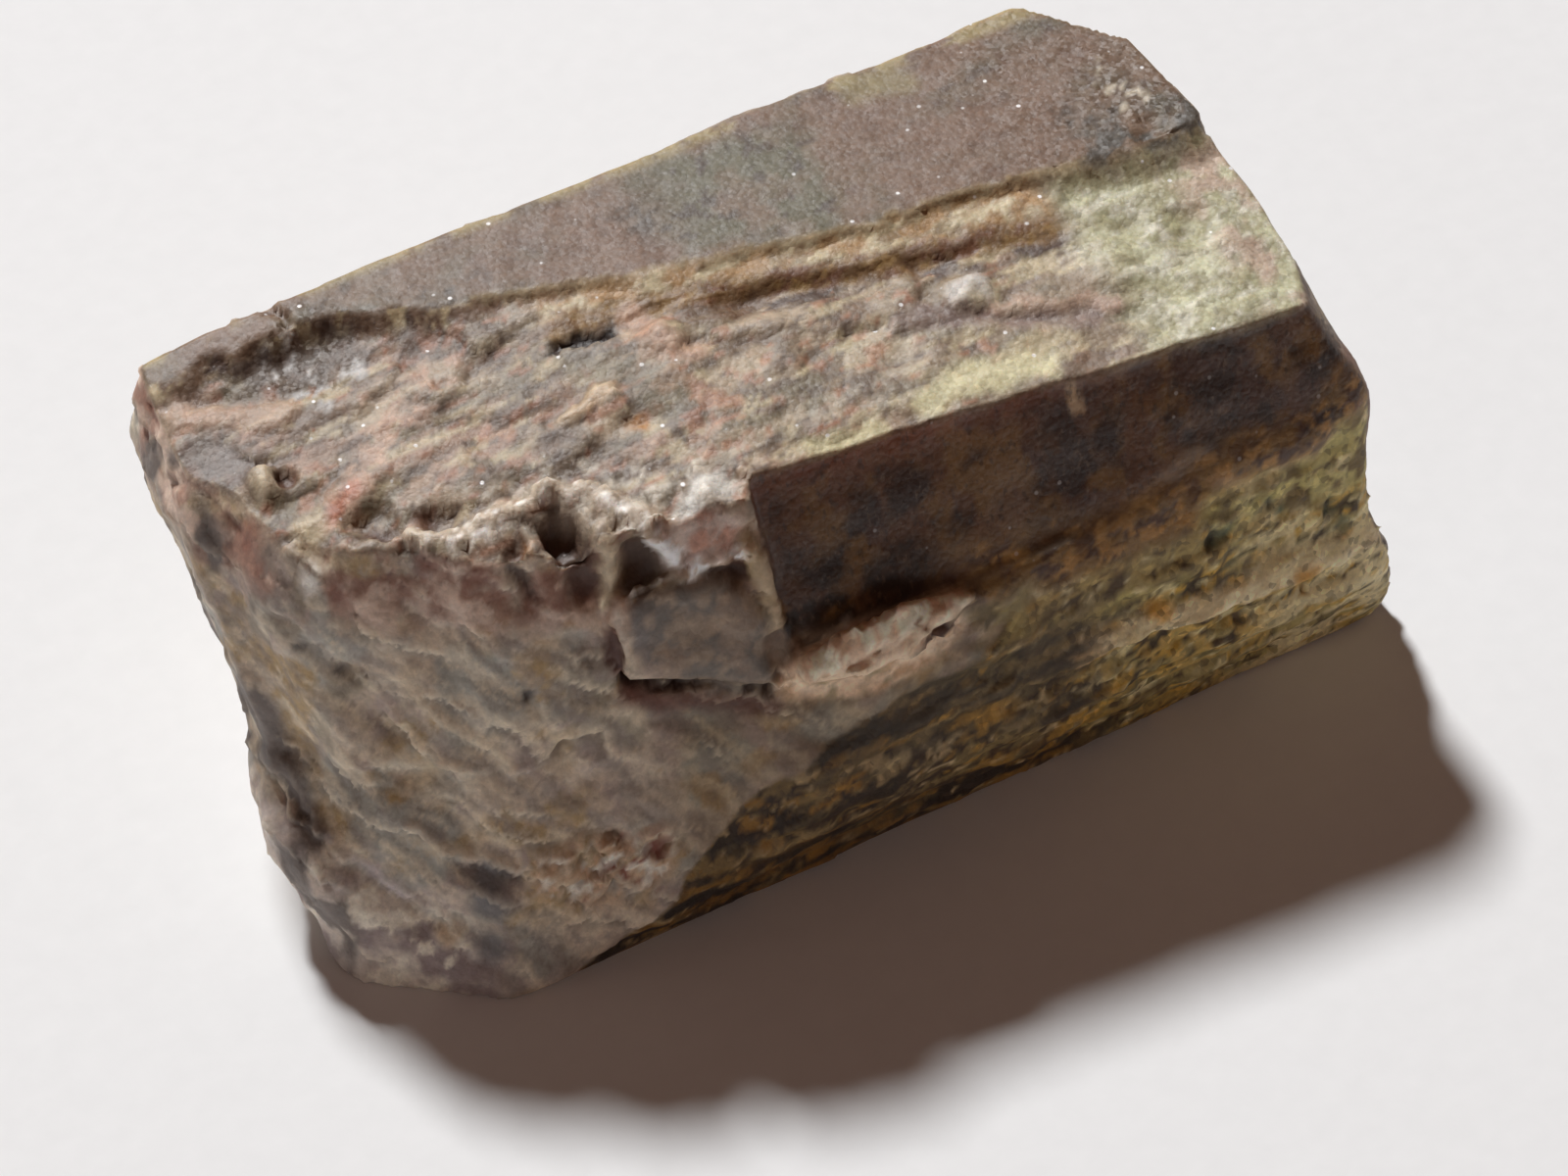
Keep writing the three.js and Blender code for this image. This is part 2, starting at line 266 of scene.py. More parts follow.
just_x = np.stack([x, 0 * x, 0 * x], 1)
teeth = 0.17 * chips(just_x, (0.8, 9, 9), 21, 0.2) + 0.14 * lumps(just_x, (1.1, 9, 9), 31)
lip = np.interp(x, LIP_X, LIP_Y) + teeth * (1 - 0.5 * rise(-9, -7, x) * fall(-1, 1, x))
strip = np.interp(x, STRIP_X, STRIP_Y) + 0.1 * lumps(just_x, (0.7, 9, 9), 41)
print("lip from y", lip.max().round(1), "to", lip.min().round(1))

# %% [markdown]
# ## The top, as a map of heights
# The whole top is a landscape: every place has one height. The grey top and the pale band are two
# gently sloping plains, and the grey one ends at a ragged lip. In front of the lip's middle a narrow
# band of stone still stands nearly as high as the grey top. It ends in a small cliff with a shallow
# trough at its foot. A map of heights is chosen because each of these is one sum over x and y.

# %% Heights of the top
grey_height = 16.6 - 0.01 * (x - 1.9) - 0.05 * (y - 9)
grey_height = np.minimum(grey_height, 16.75 + 0.14 * (x + 14.5))
pale_height = 16.45 + 0.045 * (y + 5.5) - np.where(x > -3.6, 0.028, -0.085) * (x + 3.6)

soft_lip = 0.22 + 0.5 * rise(10.5, 12.5, x) + 0.35 * fall(-9, -7, x)
behind_lip = rise(-1.6 * soft_lip, 0.4 * soft_lip, y - lip)
by_strip = rise(-7.2, -6.3, x) * fall(10.9, 12.0, x)
strip_end = rise(8.0, 11.4, x)
from_strip = y - strip
on_band = by_strip * rise(-0.42, 0.22, from_strip)
band_height = grey_height - 0.1 - 0.08 * np.clip(lip - y, 0, 3) - 0.14 * rise(2, 5, x) - 0.14 * strip_end
trough = by_strip * fall(-0.5, 0.2, from_strip) * rise(-2.3, -0.5, from_strip)
trough *= np.clip(0.3 + 0.14 * lumps(just_x, (1.7, 9, 9), 51), 0.12, 0.42) * (1 - 0.8 * rise(2, 5, x))
trough *= 0.3 + 0.7 * rise(-6.5, -3.0, x)

pale_rough = 1 - 0.5 * rise(3, 8, x)
pale_relief = pale_rough * 0.1 * chips(ragged, (3.0, 1.3, 1.6), 60)
pale_relief += pale_rough * 0.022 * chips(frayed, (1.2, 0.6, 0.8), 70)
pale_relief += 0.055 * lumps(ragged, (2.6, 1.0, 0.8), 80, 2)
in_front = pale_height * (1 - on_band) + band_height * on_band - trough + pale_relief
in_front -= 0.08 * on_band
grey_relief = 0.02 * lumps(at, 0.5, 90, 2) + 0.03 * lumps(at, (3, 1.5, 1.5), 95, 2)
top_height = in_front * (1 - behind_lip) + (grey_height + grey_relief) * behind_lip
print("lowest of the top, mm:", top_height[facing[:, 2] > 0.7].min().round(1))

# %% [markdown]
# Some marks on the top can be told apart one by one: nodules of cream stone, a finger-shaped one, a
# ridge of pink, rims of small white crystals, and hollows that open onto the fracture. Each has a
# middle or a line, a size, and a height, so tables hold them and one loop makes them all. The rim
# over the fracture is ragged all along.

# %% Nodules, ridges and hollows of the top
TOP_SPOTS = [
    ((-17.7, 2.7), 0.62, 0.45), ((-16.8, 2.4), 0.4, -0.35), ((-14.4, 6.3), 1.2, -0.06),
    ((-11.7, -3.9), 0.4, -0.3), ((-15.9, -1.3), 0.9, 0.15), ((-12.6, 0.4), 1.3, 0.12),
    ((-15.2, -0.7), 0.8, -0.4), ((-13.3, -1.6), 0.5, -0.3), ((6.7, -1.8), 0.7, 0.3),
    ((7.6, -1.6), 0.4, 0.25), ((-5.5, -5.3), 0.75, 0.3), ((-6.3, -0.6), 0.5, 0.2),
    ((-3.4, 1.2), 0.7, 0.2),
    ((-11.8, -1.5), 0.8, 0.2), ((-9.6, -5.4), 0.45, 0.25), ((13.5, -1.2), 0.8, -0.15),
    ((15.6, -2.6), 0.9, -0.18), ((16.4, 1.4), 0.7, -0.15), ((12.2, -3.4), 0.8, 0.15),
]
FINGER = [(-7.9, -0.1), (-6.9, 0.05), (-6.1, 0.2)]
PINK_LINE = [(-16.5, 0.2), (-14.9, 1.1), (-13.3, 2.1), (-11.7, 3.1), (-10.4, 4.1)]
LEFT_LINE = [(-19.4, 6.7), (-17.6, 5.9), (-16.0, 5.0)]
TOP_LINES = [
    (FINGER, 0.3, 0.32),
    (PINK_LINE, 0.7, 0.12),
    ([(-14.4, -1.8), (-13.7, -2.5), (-12.4, -2.8), (-11.2, -2.6), (-9.9, -2.3)], 0.35, 0.3),
    ([(-9.9, -2.3), (-8.8, -2.9), (-8.0, -4.0), (-7.5, -4.8), (-7.0, -6.0)], 0.35, 0.3),
    (LEFT_LINE, 0.5, 0.18),
    ([(5.8, 0.3), (5.5, -0.6), (5.3, -1.5)], 0.2, -0.08),
    ([(7.1, -2.7), (9.8, -4.2), (12.2, -5.6)], 0.3, -0.15),
    ([(-14.6, 8.9), (-14.4, 8.3), (-14.3, 7.6)], 0.16, -0.3),
    ([(-6.5, 2.75), (-5.7, 2.65), (-4.9, 2.5)], 0.18, -0.3),
]
RIM = [
    (-17.9, -0.6), (-16.2, -1.8), (-14.2, -2.9), (-12.2, -3.9), (-10.2, -4.5), (-9.0, -4.9),
    (-7.7, -5.2), (-6.2, -5.6), (-4.6, -6.0),
]


def flat(line):
    """A line on the plan, with no height."""
    return [(*place, 0) for place in line]


plan = np.stack([x, y, 0 * z], 1) + (ragged - at) * (1, 1, 0) + 0.8 * (frayed - at) * (1, 1, 0)
for middle, radius, height in TOP_SPOTS:
    top_height += height * spot(plan, (*middle, 0), radius)
for line, width, height in TOP_LINES:
    top_height += height * along(plan, flat(line), width)
rim_relief = 0.22 * chips(ragged, (1.3, 1.3, 3), 75, 0.6) + 0.12 * lumps(frayed, (0.7, 0.7, 3), 77)
top_height += along(plan, flat(RIM), 0.9) * rim_relief
top_height += 0.09 * (1 - behind_lip) * lumps(ragged, (1.5, 1.1, 2), 85, 2) * fall(6, 10, x)
top_height += ledge(plan, [(-2.7, 0.7, 0), (-1.5, 0.25, 0), (-0.3, -0.1, 0)], (0, -1, 0), 0.2, 0.9)
top_height += ledge(plan, [(2.4, -1.2, 0), (3.6, -1.5, 0)], (0, -1, 0), 0.25, 0.7)
print("marks on the top:", len(TOP_SPOTS) + len(TOP_LINES))

# %% [markdown]
# The points that face up are then lifted or lowered to their height. Near the lip and the small
# cliff, points that face sideways belong to the top too. One notch is deeper than the rest: it is
# cut down into the rim, through the top and the fracture at once.

# %% Put the top on its heights
near_lip = fall(0.5, 0.8, np.abs(y - lip)) * fall(0.5, 0.7, np.abs(facing[:, 0]))
near_strip = rise(-8.4, -7.8, x) * fall(12.4, 13.0, x) * rise(-3, -2.6, from_strip)
near_strip *= fall(0.8, 1.3, from_strip)
near_step = np.maximum(near_lip, near_strip) * rise(-1.6, -1.4, z - pale_height)
on_top = np.maximum(rise(0.56, 0.74, facing[:, 2]) * rise(-1.3, -1.0, z - pale_height), near_step)
off_top = 1 - on_top
shaped = at.copy()
shaped[:, 2] += on_top * (np.minimum(top_height, high[2] * MM) - z)
notch = spot(plan, (-9.9, -4.7, 0), 0.75, 0.5, (0.85, 1.7, 1))
notch_floor = pale_height - 1.15 * notch + 0.12 * lumps(ragged, 0.8, 88, 2)
notched = notch * rise(-3.0, -2.6, z - pale_height)
shaped[:, 2] -= notched * np.clip(shaped[:, 2] - notch_floor, 0, 2)
print("moved", int((on_top > 0.5).sum()), "points of the top")

# %% [markdown]
# ## The sides
# Below the top, each surface has its own way of being rough. The weights here say which is which.
# The glassy face is also brought closer to one plane, because it is the flattest part of the break.

# %% Weights of the surfaces
wobble = lumps(at, 1.6, 11)
grey = behind_lip * on_top
pale = (1 - behind_lip) * on_top

GLASS_FACING = np.array((-0.063, -0.861, 0.504))
glass_plane = beyond(at, (17.4, -7.2, 15.9), GLASS_FACING)
glass_foot = np.interp(x, GLASS_FOOT_X, GLASS_FOOT_Z)
glass = fall(0.5, 0.9, np.abs(glass_plane + 0.1)) * rise(-4.0, -3.8, x)
glass *= rise(-0.5, 0.5, z - glass_foot - 0.4 * wobble)
glass *= rise(0.35, 0.55, -facing[:, 1]) * off_top
flattened = 0.6 * glass * fall(0.1, 0.8, np.abs(glass_plane)) * glass_plane
shaped -= flattened[:, None] * GLASS_FACING

ochre_top = np.interp(x, OCHRE_TOP_X, OCHRE_TOP_Z)
front = rise(0.45, 0.7, -facing[:, 1]) * (1 - glass) * off_top
ochre = front * rise(-0.15, 0.15, ochre_top - z + 0.3 * wobble) * rise(-16, -14.5, x)
shell = rise(0.1, 0.35, np.maximum(-facing[:, 0], -facing[:, 1])) * fall(5, 10, x)
shell = shell * (1 - ochre) * (1 - glass) * off_top
back = np.clip(1 - grey - glass - ochre - shell - pale, 0, 1)
surfaces = {"grey": grey, "glass": glass, "ochre": ochre, "shell": shell, "pale": pale}
for name, weight in surfaces.items():
    print(name, "covers", round(100 * weight.mean()), "% of the points")

# %% [markdown]
# ## The fracture
# Apatite breaks in a curved, shell-like way. Feather marks run down the broken face, and here and
# there the crack stepped from one level to the next and left a ledge. Low on the right the stone
# crumbled into angular grains. Small dark pits stay where grains fell out. Just under the rim are
# two hollows with a pillar of stone between them.

# %% Relief of the fracture
SHELL_LEDGES = [
    [(-16.0, -4.1, 11.3), (-16.0, -4.4, 10.6), (-15.6, -5.2, 9.9), (-14.2, -6.5, 8.9), (-13.8, -7.2, 8.2)],
    [(-18.0, -4.5, 7.9), (-16.6, -5.3, 8.0), (-15.2, -6.5, 8.2)],
    [(-17.3, -6.4, 6.1), (-16.7, -7.2, 5.2), (-15.4, -7.9, 5.1), (-14.7, -8.5, 4.8)],
    [(-20.4, -2.3, 6.3), (-19.8, -4.1, 5.2), (-19.0, -5.5, 4.6), (-18.0, -6.9, 3.5), (-17.2, -7.7, 2.8)],
    [(-18.4, -0.6, 13.0), (-17.9, -1.8, 12.4), (-17.1, -3.2, 10.8), (-16.8, -4.2, 9.5)],
    [(-14.0, -4.3, 13.4), (-12.9, -5.8, 12.2), (-12.2, -6.9, 10.4), (-11.4, -8.1, 7.9)],
]
SHELL_PITS = [
    ((-18.5, -1.6, 11.7), 0.3, -0.1), ((-17.6, -2.5, 11.4), 0.22, -0.08),
    ((-12.8, -6.4, 11.0), 0.22, -0.08), ((-20.6, -2.1, 5.8), 0.4, -0.15),
    ((-20.6, -3.0, 4.9), 0.8, 0.2), ((-17.2, -8.2, 2.2), 0.6, 0.2),
    ((-18.0, -0.3, 14.0), 0.4, 0.25), ((-12.0, -9.4, 3.0), 0.5, -0.2),
]
RIM_HOLLOWS = [
    ([(-9.7, -4.6, 15.6), (-9.9, -5.2, 14.3)], 0.6), ([(-7.9, -5.6, 15.2), (-8.2, -6.2, 14.0)], 0.62),
    ([(-11.9, -4.1, 15.2), (-11.5, -4.8, 14.2)], 0.3),
]
PILLAR = [(-8.9, -5.1, 15.8), (-9.0, -5.5, 14.7), (-9.2, -5.9, 13.6)]

flow = np.array([0.52, -0.68, -0.52])
feather_axes = np.stack([flow, np.cross(flow, (-0.5, -0.75, 0.42)), (-0.5, -0.75, 0.42)], 1)
swept = ragged @ feather_axes
feathers = 0.07 * lumps(swept, (6.5, 0.8, 0.9), 200)
step_count = swept[:, 1] / 1.7 + 0.12 * swept[:, 0] + 0.8 * lumps(ragged, 3.6, 205, 2)
step_rise = step_count - np.floor(step_count)
stepped = shell * rise(-0.3, 0.3, lumps(at, 3.0, 207, 2))
shell_relief = feathers + 0.17 * stepped * (step_rise - 0.5)
shell_relief += 0.03 * chips(swept, (3.4, 1.1, 1.4), 210) + 0.012 * lumps(at, 0.5, 220, 2)
for line in SHELL_LEDGES:
    shell_relief += ledge(frayed, line, (0, -0.3, -0.95), 0.27, 1.6)
for line, width in RIM_HOLLOWS:
    shell_relief -= 0.4 * along(frayed, line, width, 0.8)
shell_relief += 0.25 * along(frayed, PILLAR, 0.3, 0.6)
gravel = spot(ragged, (-11.5, -9.5, 4.4), 1.7, 0.3, (1.5, 1, 0.8))
shell_relief += gravel * (0.2 * chips(frayed, 0.8, 230, 1.5) + 0.1)
broken_end = fall(-19.9, -19.3, x)
shell_relief += 0.06 * broken_end * chips(ragged, (1.4, 1.8, 1.6), 240)
print("feather marks reach, mm:", np.abs(feathers).max().round(2))

# %% [markdown]
# ## The glassy face and the front
# The glassy face is a clean break: it only swells and dips a little, in upright slivers. The front
# under it is a growth face of the prism. It is ribbed along the crystal, with a pink ledge across
# its right half, grains of ochre below that and small blue-green pits above. A shard of pink stone
# points out along the swelling at the foot of the glassy face. At its left a small shelf with a
# white rim hangs under the top's edge, and a thin rod of stone runs down the corner.

# %% Relief of the front
glass_relief = 0.04 * lumps(ragged, (1.4, 1.8, 3.4), 300, 2)
glass_relief += 0.02 * chips(ragged, (1.8, 2, 3.6), 310, 0.4) * rise(0.4, 1.2, 15.9 - z)

ochre_relief = 0.11 * lumps(at, (6, 0.7, 0.5), 320, 2) + 0.05 * chips(frayed, (3.0, 0.8, 0.6), 330)
pink_level = z - np.interp(x, [4, 8, 12.4, 16.6, 19.5], [7.4, 6.6, 6.4, 6.2, 6.0]) - 0.2 * wobble
pink_ledge = rise(4, 7, x) * rise(-0.55, -0.4, pink_level) * fall(0.2, 0.9, pink_level)
grains = rise(-1, 4, x) * rise(-3.6, -3.0, pink_level) * fall(-0.6, -0.4, pink_level)
grains += 0.6 * fall(1.5, 3.0, z) + 0.4 * rise(0.3, 0.5, wobble)
ochre_relief += 0.2 * pink_ledge + np.clip(grains, 0, 1) * 0.09 * chips(frayed, (0.8, 0.5, 0.5), 340, 0.8)
print("pink ledge covers", int((pink_ledge * ochre > 0.5).sum()), "points")

# %% [markdown]
# Pits, the shard, the shelf and the rod are single features again, and they lie across the borders
# of the surfaces. Their relief is kept apart, so that no border cuts one off.

# %% Single features of the front
FRONT_SPOTS = [
    ((15.8, -10.2, 9.4), 0.45, -0.25), ((17.0, -10.6, 8.0), 0.4, -0.3), ((18.2, -10.3, 8.8), 0.35, -0.15),
    ((14.5, -10.0, 9.4), 0.35, -0.2), ((12.1, -10.2, 9.3), 0.35, -0.2), ((16.4, -10.4, 8.9), 0.3, -0.3),
    ((11.7, -9.3, 11.8), 0.8, -0.12), ((14.4, -11.4, 5.4), 0.18, -0.2),
]
front_relief = np.zeros(len(at))
for middle, radius, height in FRONT_SPOTS + SHELL_PITS:
    front_relief += height * spot(ragged, middle, radius)
spur = [(2.2, -9.7, 11.1), (0.6, -9.6, 11.0), (-0.8, -9.6, 11.0), (-2.4, -9.6, 10.7), (-3.4, -9.4, 10.5)]
front_relief += 0.45 * along(frayed, spur, 0.45, 0.4)
front_relief -= 0.3 * along(frayed, [(1.6, -10.25, 10.5), (0.0, -10.35, 10.4)], 0.22)
shelf_rim = [
    (-7.7, -5.3, 16.1), (-7.0, -5.9, 15.2), (-6.7, -6.4, 14.3), (-5.9, -6.6, 14.5), (-4.6, -6.8, 14.6),
]
shelf = spot(ragged, (-5.8, -6.0, 15.5), 1.0, 0.3, (1.4, 1, 0.9)) * off_top
front_relief += 0.15 * shelf + 0.28 * along(frayed, shelf_rim, 0.3, 0.5)
rod = [(-4.4, -6.8, 15.0), (-4.3, -7.3, 13.9), (-4.2, -7.8, 13.0), (-4.0, -8.4, 12.1)]
front_relief += 0.28 * along(frayed, rod, 0.3, 0.4)
foot_rubble = along(ragged, [(-3.4, -9.6, 10.2), (0, -9.8, 10.4), (3.5, -10.0, 9.9)], 0.9)
front_relief += foot_rubble * 0.16 * chips(frayed, (1.4, 0.9, 0.9), 350)
print("single features reach, mm:", front_relief.min().round(2), "to", front_relief.max().round(2))

# %% [markdown]
# ## Back, ends and the slab by the glassy face
# The hidden side is finished as the seen sides are: it has the weathered ribs of the prism and the
# chipped edges of the break. Worn edges are made by averaging each point with its neighbours. It is
# done here with sums over the net's edges, because each place is to be worn by its own amount.

# %% Relief of the back, and wear
back_relief = 0.12 * lumps(at, (4.5, 1.0, 0.7), 400) + 0.15 * chips(ragged, (2.6, 1.5, 1.3), 410)
back_relief += 0.05 * lumps(at, 0.5, 420, 2)

pairs = np.empty(len(stone.data.edges) * 2, dtype=np.int64)
stone.data.edges.foreach_get("vertices", pairs)
first, second = pairs.reshape(-1, 2).T
neighbours = np.bincount(np.concatenate([first, second]), minlength=len(at))


def softened(values, rounds):
    """Averages each point with its neighbours, again and again."""
    values = values.copy()
    for _ in range(rounds):
        for axis in range(3):
            total = np.bincount(first, values[second, axis], len(at))
            total += np.bincount(second, values[first, axis], len(at))
            values[:, axis] = 0.3 * values[:, axis] + 0.7 * total / neighbours
    return values


print("net edges:", len(first))

# %% [markdown]
# A slab stands proud of the fracture beside the glassy face. It is brought out to one plane inside
# six sides, and the sides are rounded together at the corners. The stone is hollowed between the
# slab and the glassy face, and a crevice runs below it and up its left side.

# %% The slab
SLAB_SIDES = [
    ((-9.1, -7.0, 12.7), (-0.98, 0.1, 0.1)), ((-6.5, -6.8, 14.2), (0.05, 0.4, 0.9)),
    ((-4.4, -8.1, 12.1), (0.946, -0.124, 0.286)), ((-4.3, -9.3, 10.4), (0.98, -0.1, -0.15)),
    ((-5.2, -9.3, 10.1), (-0.38, -0.3, -0.87)), ((-6.1, -9.7, 6.1), (0.24, 0.88, -0.4)),
]
SLAB_FACING = np.array((-0.238, -0.883, 0.403))
CORNER_RADIUS = 0.9
worn = jostled(at, 0.28, 1.5, 430)
past_sides = np.zeros(len(at))
for place, way in SLAB_SIDES:
    past_sides += np.clip(beyond(worn, place, way) + CORNER_RADIUS, 0, None) ** 2
on_slab = off_top * fall(-0.2, 0.2, np.sqrt(past_sides) - CORNER_RADIUS)
slab_level = 0.45 + 0.07 * lumps(at, 1.3, 440, 2)
slab_short = np.clip(slab_level - beyond(at, (-6.14, -10.2, 6.3), SLAB_FACING), 0, 0.8)
shaped += (on_slab * slab_short)[:, None] * SLAB_FACING
crevice = [(-9.3, -7.2, 10.9), (-8.0, -7.8, 10.5), (-6.5, -8.6, 10.1), (-5.0, -9.15, 9.7)]
crevice_side = [(-9.5, -6.6, 12.9), (-9.6, -7.0, 11.8), (-9.3, -7.2, 10.9)]
hollowed = spot(ragged, (-5.6, -6.9, 13.9), 0.9, 0.4, (1.2, 1, 0.6)) * (1 - on_slab)
slab_relief = -0.4 * hollowed - 0.4 * along(frayed, crevice, 0.3, 0.4) * (1 - on_slab)
slab_relief -= 0.25 * along(frayed, crevice_side, 0.25, 0.5) * (1 - on_slab)
print("the slab covers", int((on_slab > 0.5).sum()), "points")

# %% [markdown]
# All the relief of the sides is then put on at once, along normals that are rounded first, so that
# neighbours at an edge move together and don't cross. It fades at the floor, which keeps the base
# flat, and at the sharp right edge. The slab's edges and the right front corner are worn round.

# %% Put the relief on
EDGE_ROUNDS = 8
CORNER_ROUNDS = 30

free_of_floor = rise(0.02, 0.7, z) * fall(0.7, 0.9, -facing[:, 2])
relief = shell * shell_relief + glass * glass_relief + ochre * ochre_relief + back * back_relief
relief = relief * (1 - 0.6 * on_slab) + (front_relief + slab_relief) * off_top
relief *= free_of_floor * (1 - 0.85 * rise(16.8, 18.4, x) * fall(19.5, 20, x))
rounded_facing = softened(facing, 3)
rounded_facing /= np.linalg.norm(rounded_facing, axis=1)[:, None]
sharp_edge = rise(0.1, 0.35, np.minimum(-rounded_facing[:, 1], rounded_facing[:, 0])) * rise(16, 17.5, x)
relief *= 1 - 0.9 * sharp_edge
by_slab = spot(at, (-6.6, -7.9, 12.0), 3.0, 0.3) * off_top * (1 - glass)
rounding = np.clip(0.85 * by_slab + sharp_edge, 0, 1)[:, None]
shaped = shaped * (1 - rounding) + softened(shaped, EDGE_ROUNDS) * rounding
corner_post = (rise(18.0, 18.8, x) * fall(-9.8, -9.0, y) * rise(1, 2, z))[:, None]
shaped = shaped * (1 - corner_post) + softened(shaped, CORNER_ROUNDS) * corner_post
shaped += (relief * off_top)[:, None] * rounded_facing

lowest, highest = np.array(low) * MM - MARK, np.array(high) * MM - MARK
shaped = np.clip(shaped, lowest - (0.3, 0.3, 0), highest + 0.2)
write(stone, shaped)
print("relief from", relief.min().round(2), "to", relief.max().round(2), "mm")

# %% [markdown]
# ## Colour
# Nothing on the stone has one colour. Each surface gets a ground colour with patches of a few
# others, and then the marks that can be told apart are painted one by one. Last, every hollow is
# darkened as painted shade and every crest is paled.
# The colour is stored on the points, because the net's squares are only a fifth of a millimetre wide.

# %% Brushes
def rgb(red, green, blue):
    """A colour picked on a screen, as the linear numbers a shader needs."""
    screen = np.array([red, green, blue]) / 255
    return np.where(screen <= 0.04045, screen / 12.92, ((screen + 0.055) / 1.055) ** 2.4)


tint = np.tile(rgb(120, 105, 90), (len(at), 1))


def paint(weight, colour):
    """Lays a colour over the stone, as thickly as the weight says."""
    global tint
    weight = np.clip(weight, 0, 1)[:, None]
    tint = tint * (1 - weight) + rgb(*colour) * weight


def dapple(weight, colour, size, seed, share=0.5, edge=0.4):
    """Paints patches of a colour over about a share of a surface; the seed picks the pattern."""
    level = 1.0 - 2 * share
    chosen = np.flatnonzero(weight > 0.01)
    patches = np.zeros(len(at))
    patches[chosen] = rise(level - edge, level + edge, 1.6 * lumps(frayed[chosen], size, seed))
    paint(weight * patches, colour)


CREAM, PINK, WHITE = (208, 194, 166), (194, 162, 146), (228, 224, 218)
print("paint is ready for", len(tint), "points")

# %% [markdown]
# The grey top is frosted mauve-brown with green-grey clouds. The pale band is cream, pink and grey
# in streaks along the crystal, sugary with small crystals at its left, and light green at its right.

# %% Ground colours of the top
paint(grey, (112, 99, 88))
dapple(grey, (120, 103, 94), 2.5, 500)
dapple(grey, (102, 94, 80), (2.6, 1.6, 2), 510, 0.4)
dapple(grey * rise(-2, 1, x) * fall(5, 8, x), (104, 102, 86), 1.8, 515, 0.6)
dapple(grey, (80, 68, 60), 0.5, 520, 0.18, 0.25)
dapple(0.6 * grey, (132, 116, 104), 1.1, 522, 0.25)
dapple(0.7 * grey, (128, 100, 86), 3.2, 524, 0.4, 0.6)
dapple(grey * rise(13, 16, x), (126, 106, 94), 1.6, 525)

paint(pale, (154, 136, 117))
dapple(pale, (138, 118, 104), (2.8, 0.8, 1), 530, 0.4)
dapple(pale, (128, 116, 96), (2.4, 0.9, 1), 540, 0.35)
dapple(0.65 * pale * fall(0, 5, x), PINK, (2.6, 0.5, 1), 550, 0.35, 0.3)
dapple(0.8 * pale, CREAM, (1.8, 0.45, 1), 560, 0.28, 0.3)
left_pale = pale * fall(2, 6, x)
dapple(0.8 * left_pale, (104, 86, 72), (1.2, 0.4, 0.6), 570, 0.22, 0.3)
light_green = pale * rise(10.5, 13, x)
paint(0.8 * light_green, (178, 176, 138))
dapple(light_green, (200, 198, 164), (1.4, 0.7, 1), 580, 0.4, 0.7)
dapple(0.6 * light_green, (136, 126, 96), (0.9, 0.5, 1), 590, 0.3, 0.6)
dapple(0.7 * light_green, (212, 208, 190), (0.5, 0.3, 1), 592, 0.2, 0.3)
dapple(light_green * rise(15, 17, x), (190, 168, 148), 0.9, 595, 0.4)

dapple(0.8 * left_pale, (118, 100, 88), (2.6, 1.6, 1), 576, 0.3, 0.5)
dapple(0.7 * left_pale, (206, 188, 170), (2.2, 1.3, 1), 578, 0.22)
sugar_line = [(-14.4, -1.8, 0), (-11.2, -2.6, 0), (-8.8, -2.9, 0), (-5.6, -4.6, 0)]
sugar = pale * np.maximum(along(plan, sugar_line, 1.3), 0.4 * rise(0.2, 0.6, lumps(ragged, 2.4, 571)))
dapple(0.85 * sugar, (224, 216, 206), (0.45, 0.34, 0.4), 572, 0.35, 0.25)
gaps = pale * fall(7, 10, x)
dapple(0.7 * gaps, (86, 66, 55), (0.8, 0.3, 0.4), 573, 0.12, 0.25)
dapple(0.6 * gaps, (186, 130, 104), (0.7, 0.3, 0.4), 574, 0.1, 0.25)
print("ground of the top painted")

# %% [markdown]
# The fracture is swept by pale and dark feathers in the direction in which the crack ran. Each
# step of the fracture is painted light at its upper edge as painted highlight and dark at its foot
# as painted shadow. The glassy face is dark brown, the front is ochre with dark and golden ribs,
# and the back is muted.

# %% Ground colours of the sides
paint(shell, (196, 178, 160))
dapple(shell, (176, 156, 148), 2.4, 600)
dapple(0.7 * shell, (142, 132, 112), (3.2, 1.4, 1.8), 605, 0.25, 0.5)
dapple(shell, (168, 163, 154), (1.8, 1.6, 2.2), 610, 0.35)
dapple(shell, (176, 148, 108), 1.5, 620, 0.25)
sweeps = lumps(swept, (4.5, 0.45, 0.6), 920)
paint(0.55 * shell * rise(0.1, 0.5, sweeps), (226, 208, 184))
paint(0.55 * shell * rise(0.1, 0.5, -sweeps), (150, 138, 132))
fine_sweeps = lumps(swept, (1.8, 0.26, 0.4), 925, 2)
paint(0.45 * shell * rise(0.25, 0.6, fine_sweeps), (232, 216, 194))
paint(0.45 * shell * rise(0.25, 0.6, -fine_sweeps), (124, 108, 98))
# Painted highlight on the upper edge of each step, painted shadow at its foot
paint(0.5 * stepped * rise(0.72, 0.97, step_rise), (230, 212, 188))
paint(0.5 * stepped * fall(0.03, 0.25, step_rise), (116, 100, 90))

paint(glass, (106, 76, 54))
dapple(glass, (84, 58, 46), 2.0, 640)
dapple(glass, (130, 104, 64), (0.9, 1, 2.2), 650, 0.35)
dapple(glass, (58, 40, 32), (1.5, 1, 1.6), 660, 0.3)

paint(ochre, (138, 120, 86))
dapple(ochre, (106, 94, 68), (5, 0.9, 0.5), 670, 0.45, 0.3)
dapple(ochre, (166, 146, 106), (1.8, 0.45, 0.35), 680, 0.3, 0.25)
dapple(ochre, (64, 50, 36), (1.4, 0.4, 0.35), 700, 0.28, 0.25)
dapple(ochre, (186, 146, 72), (1.0, 0.4, 0.35), 690, 0.22, 0.25)
dapple(ochre, (210, 192, 164), (0.9, 0.35, 0.3), 710, 0.14, 0.25)
dapple(ochre, (72, 54, 38), (0.5, 0.35, 0.35), 715, 0.2, 0.2)

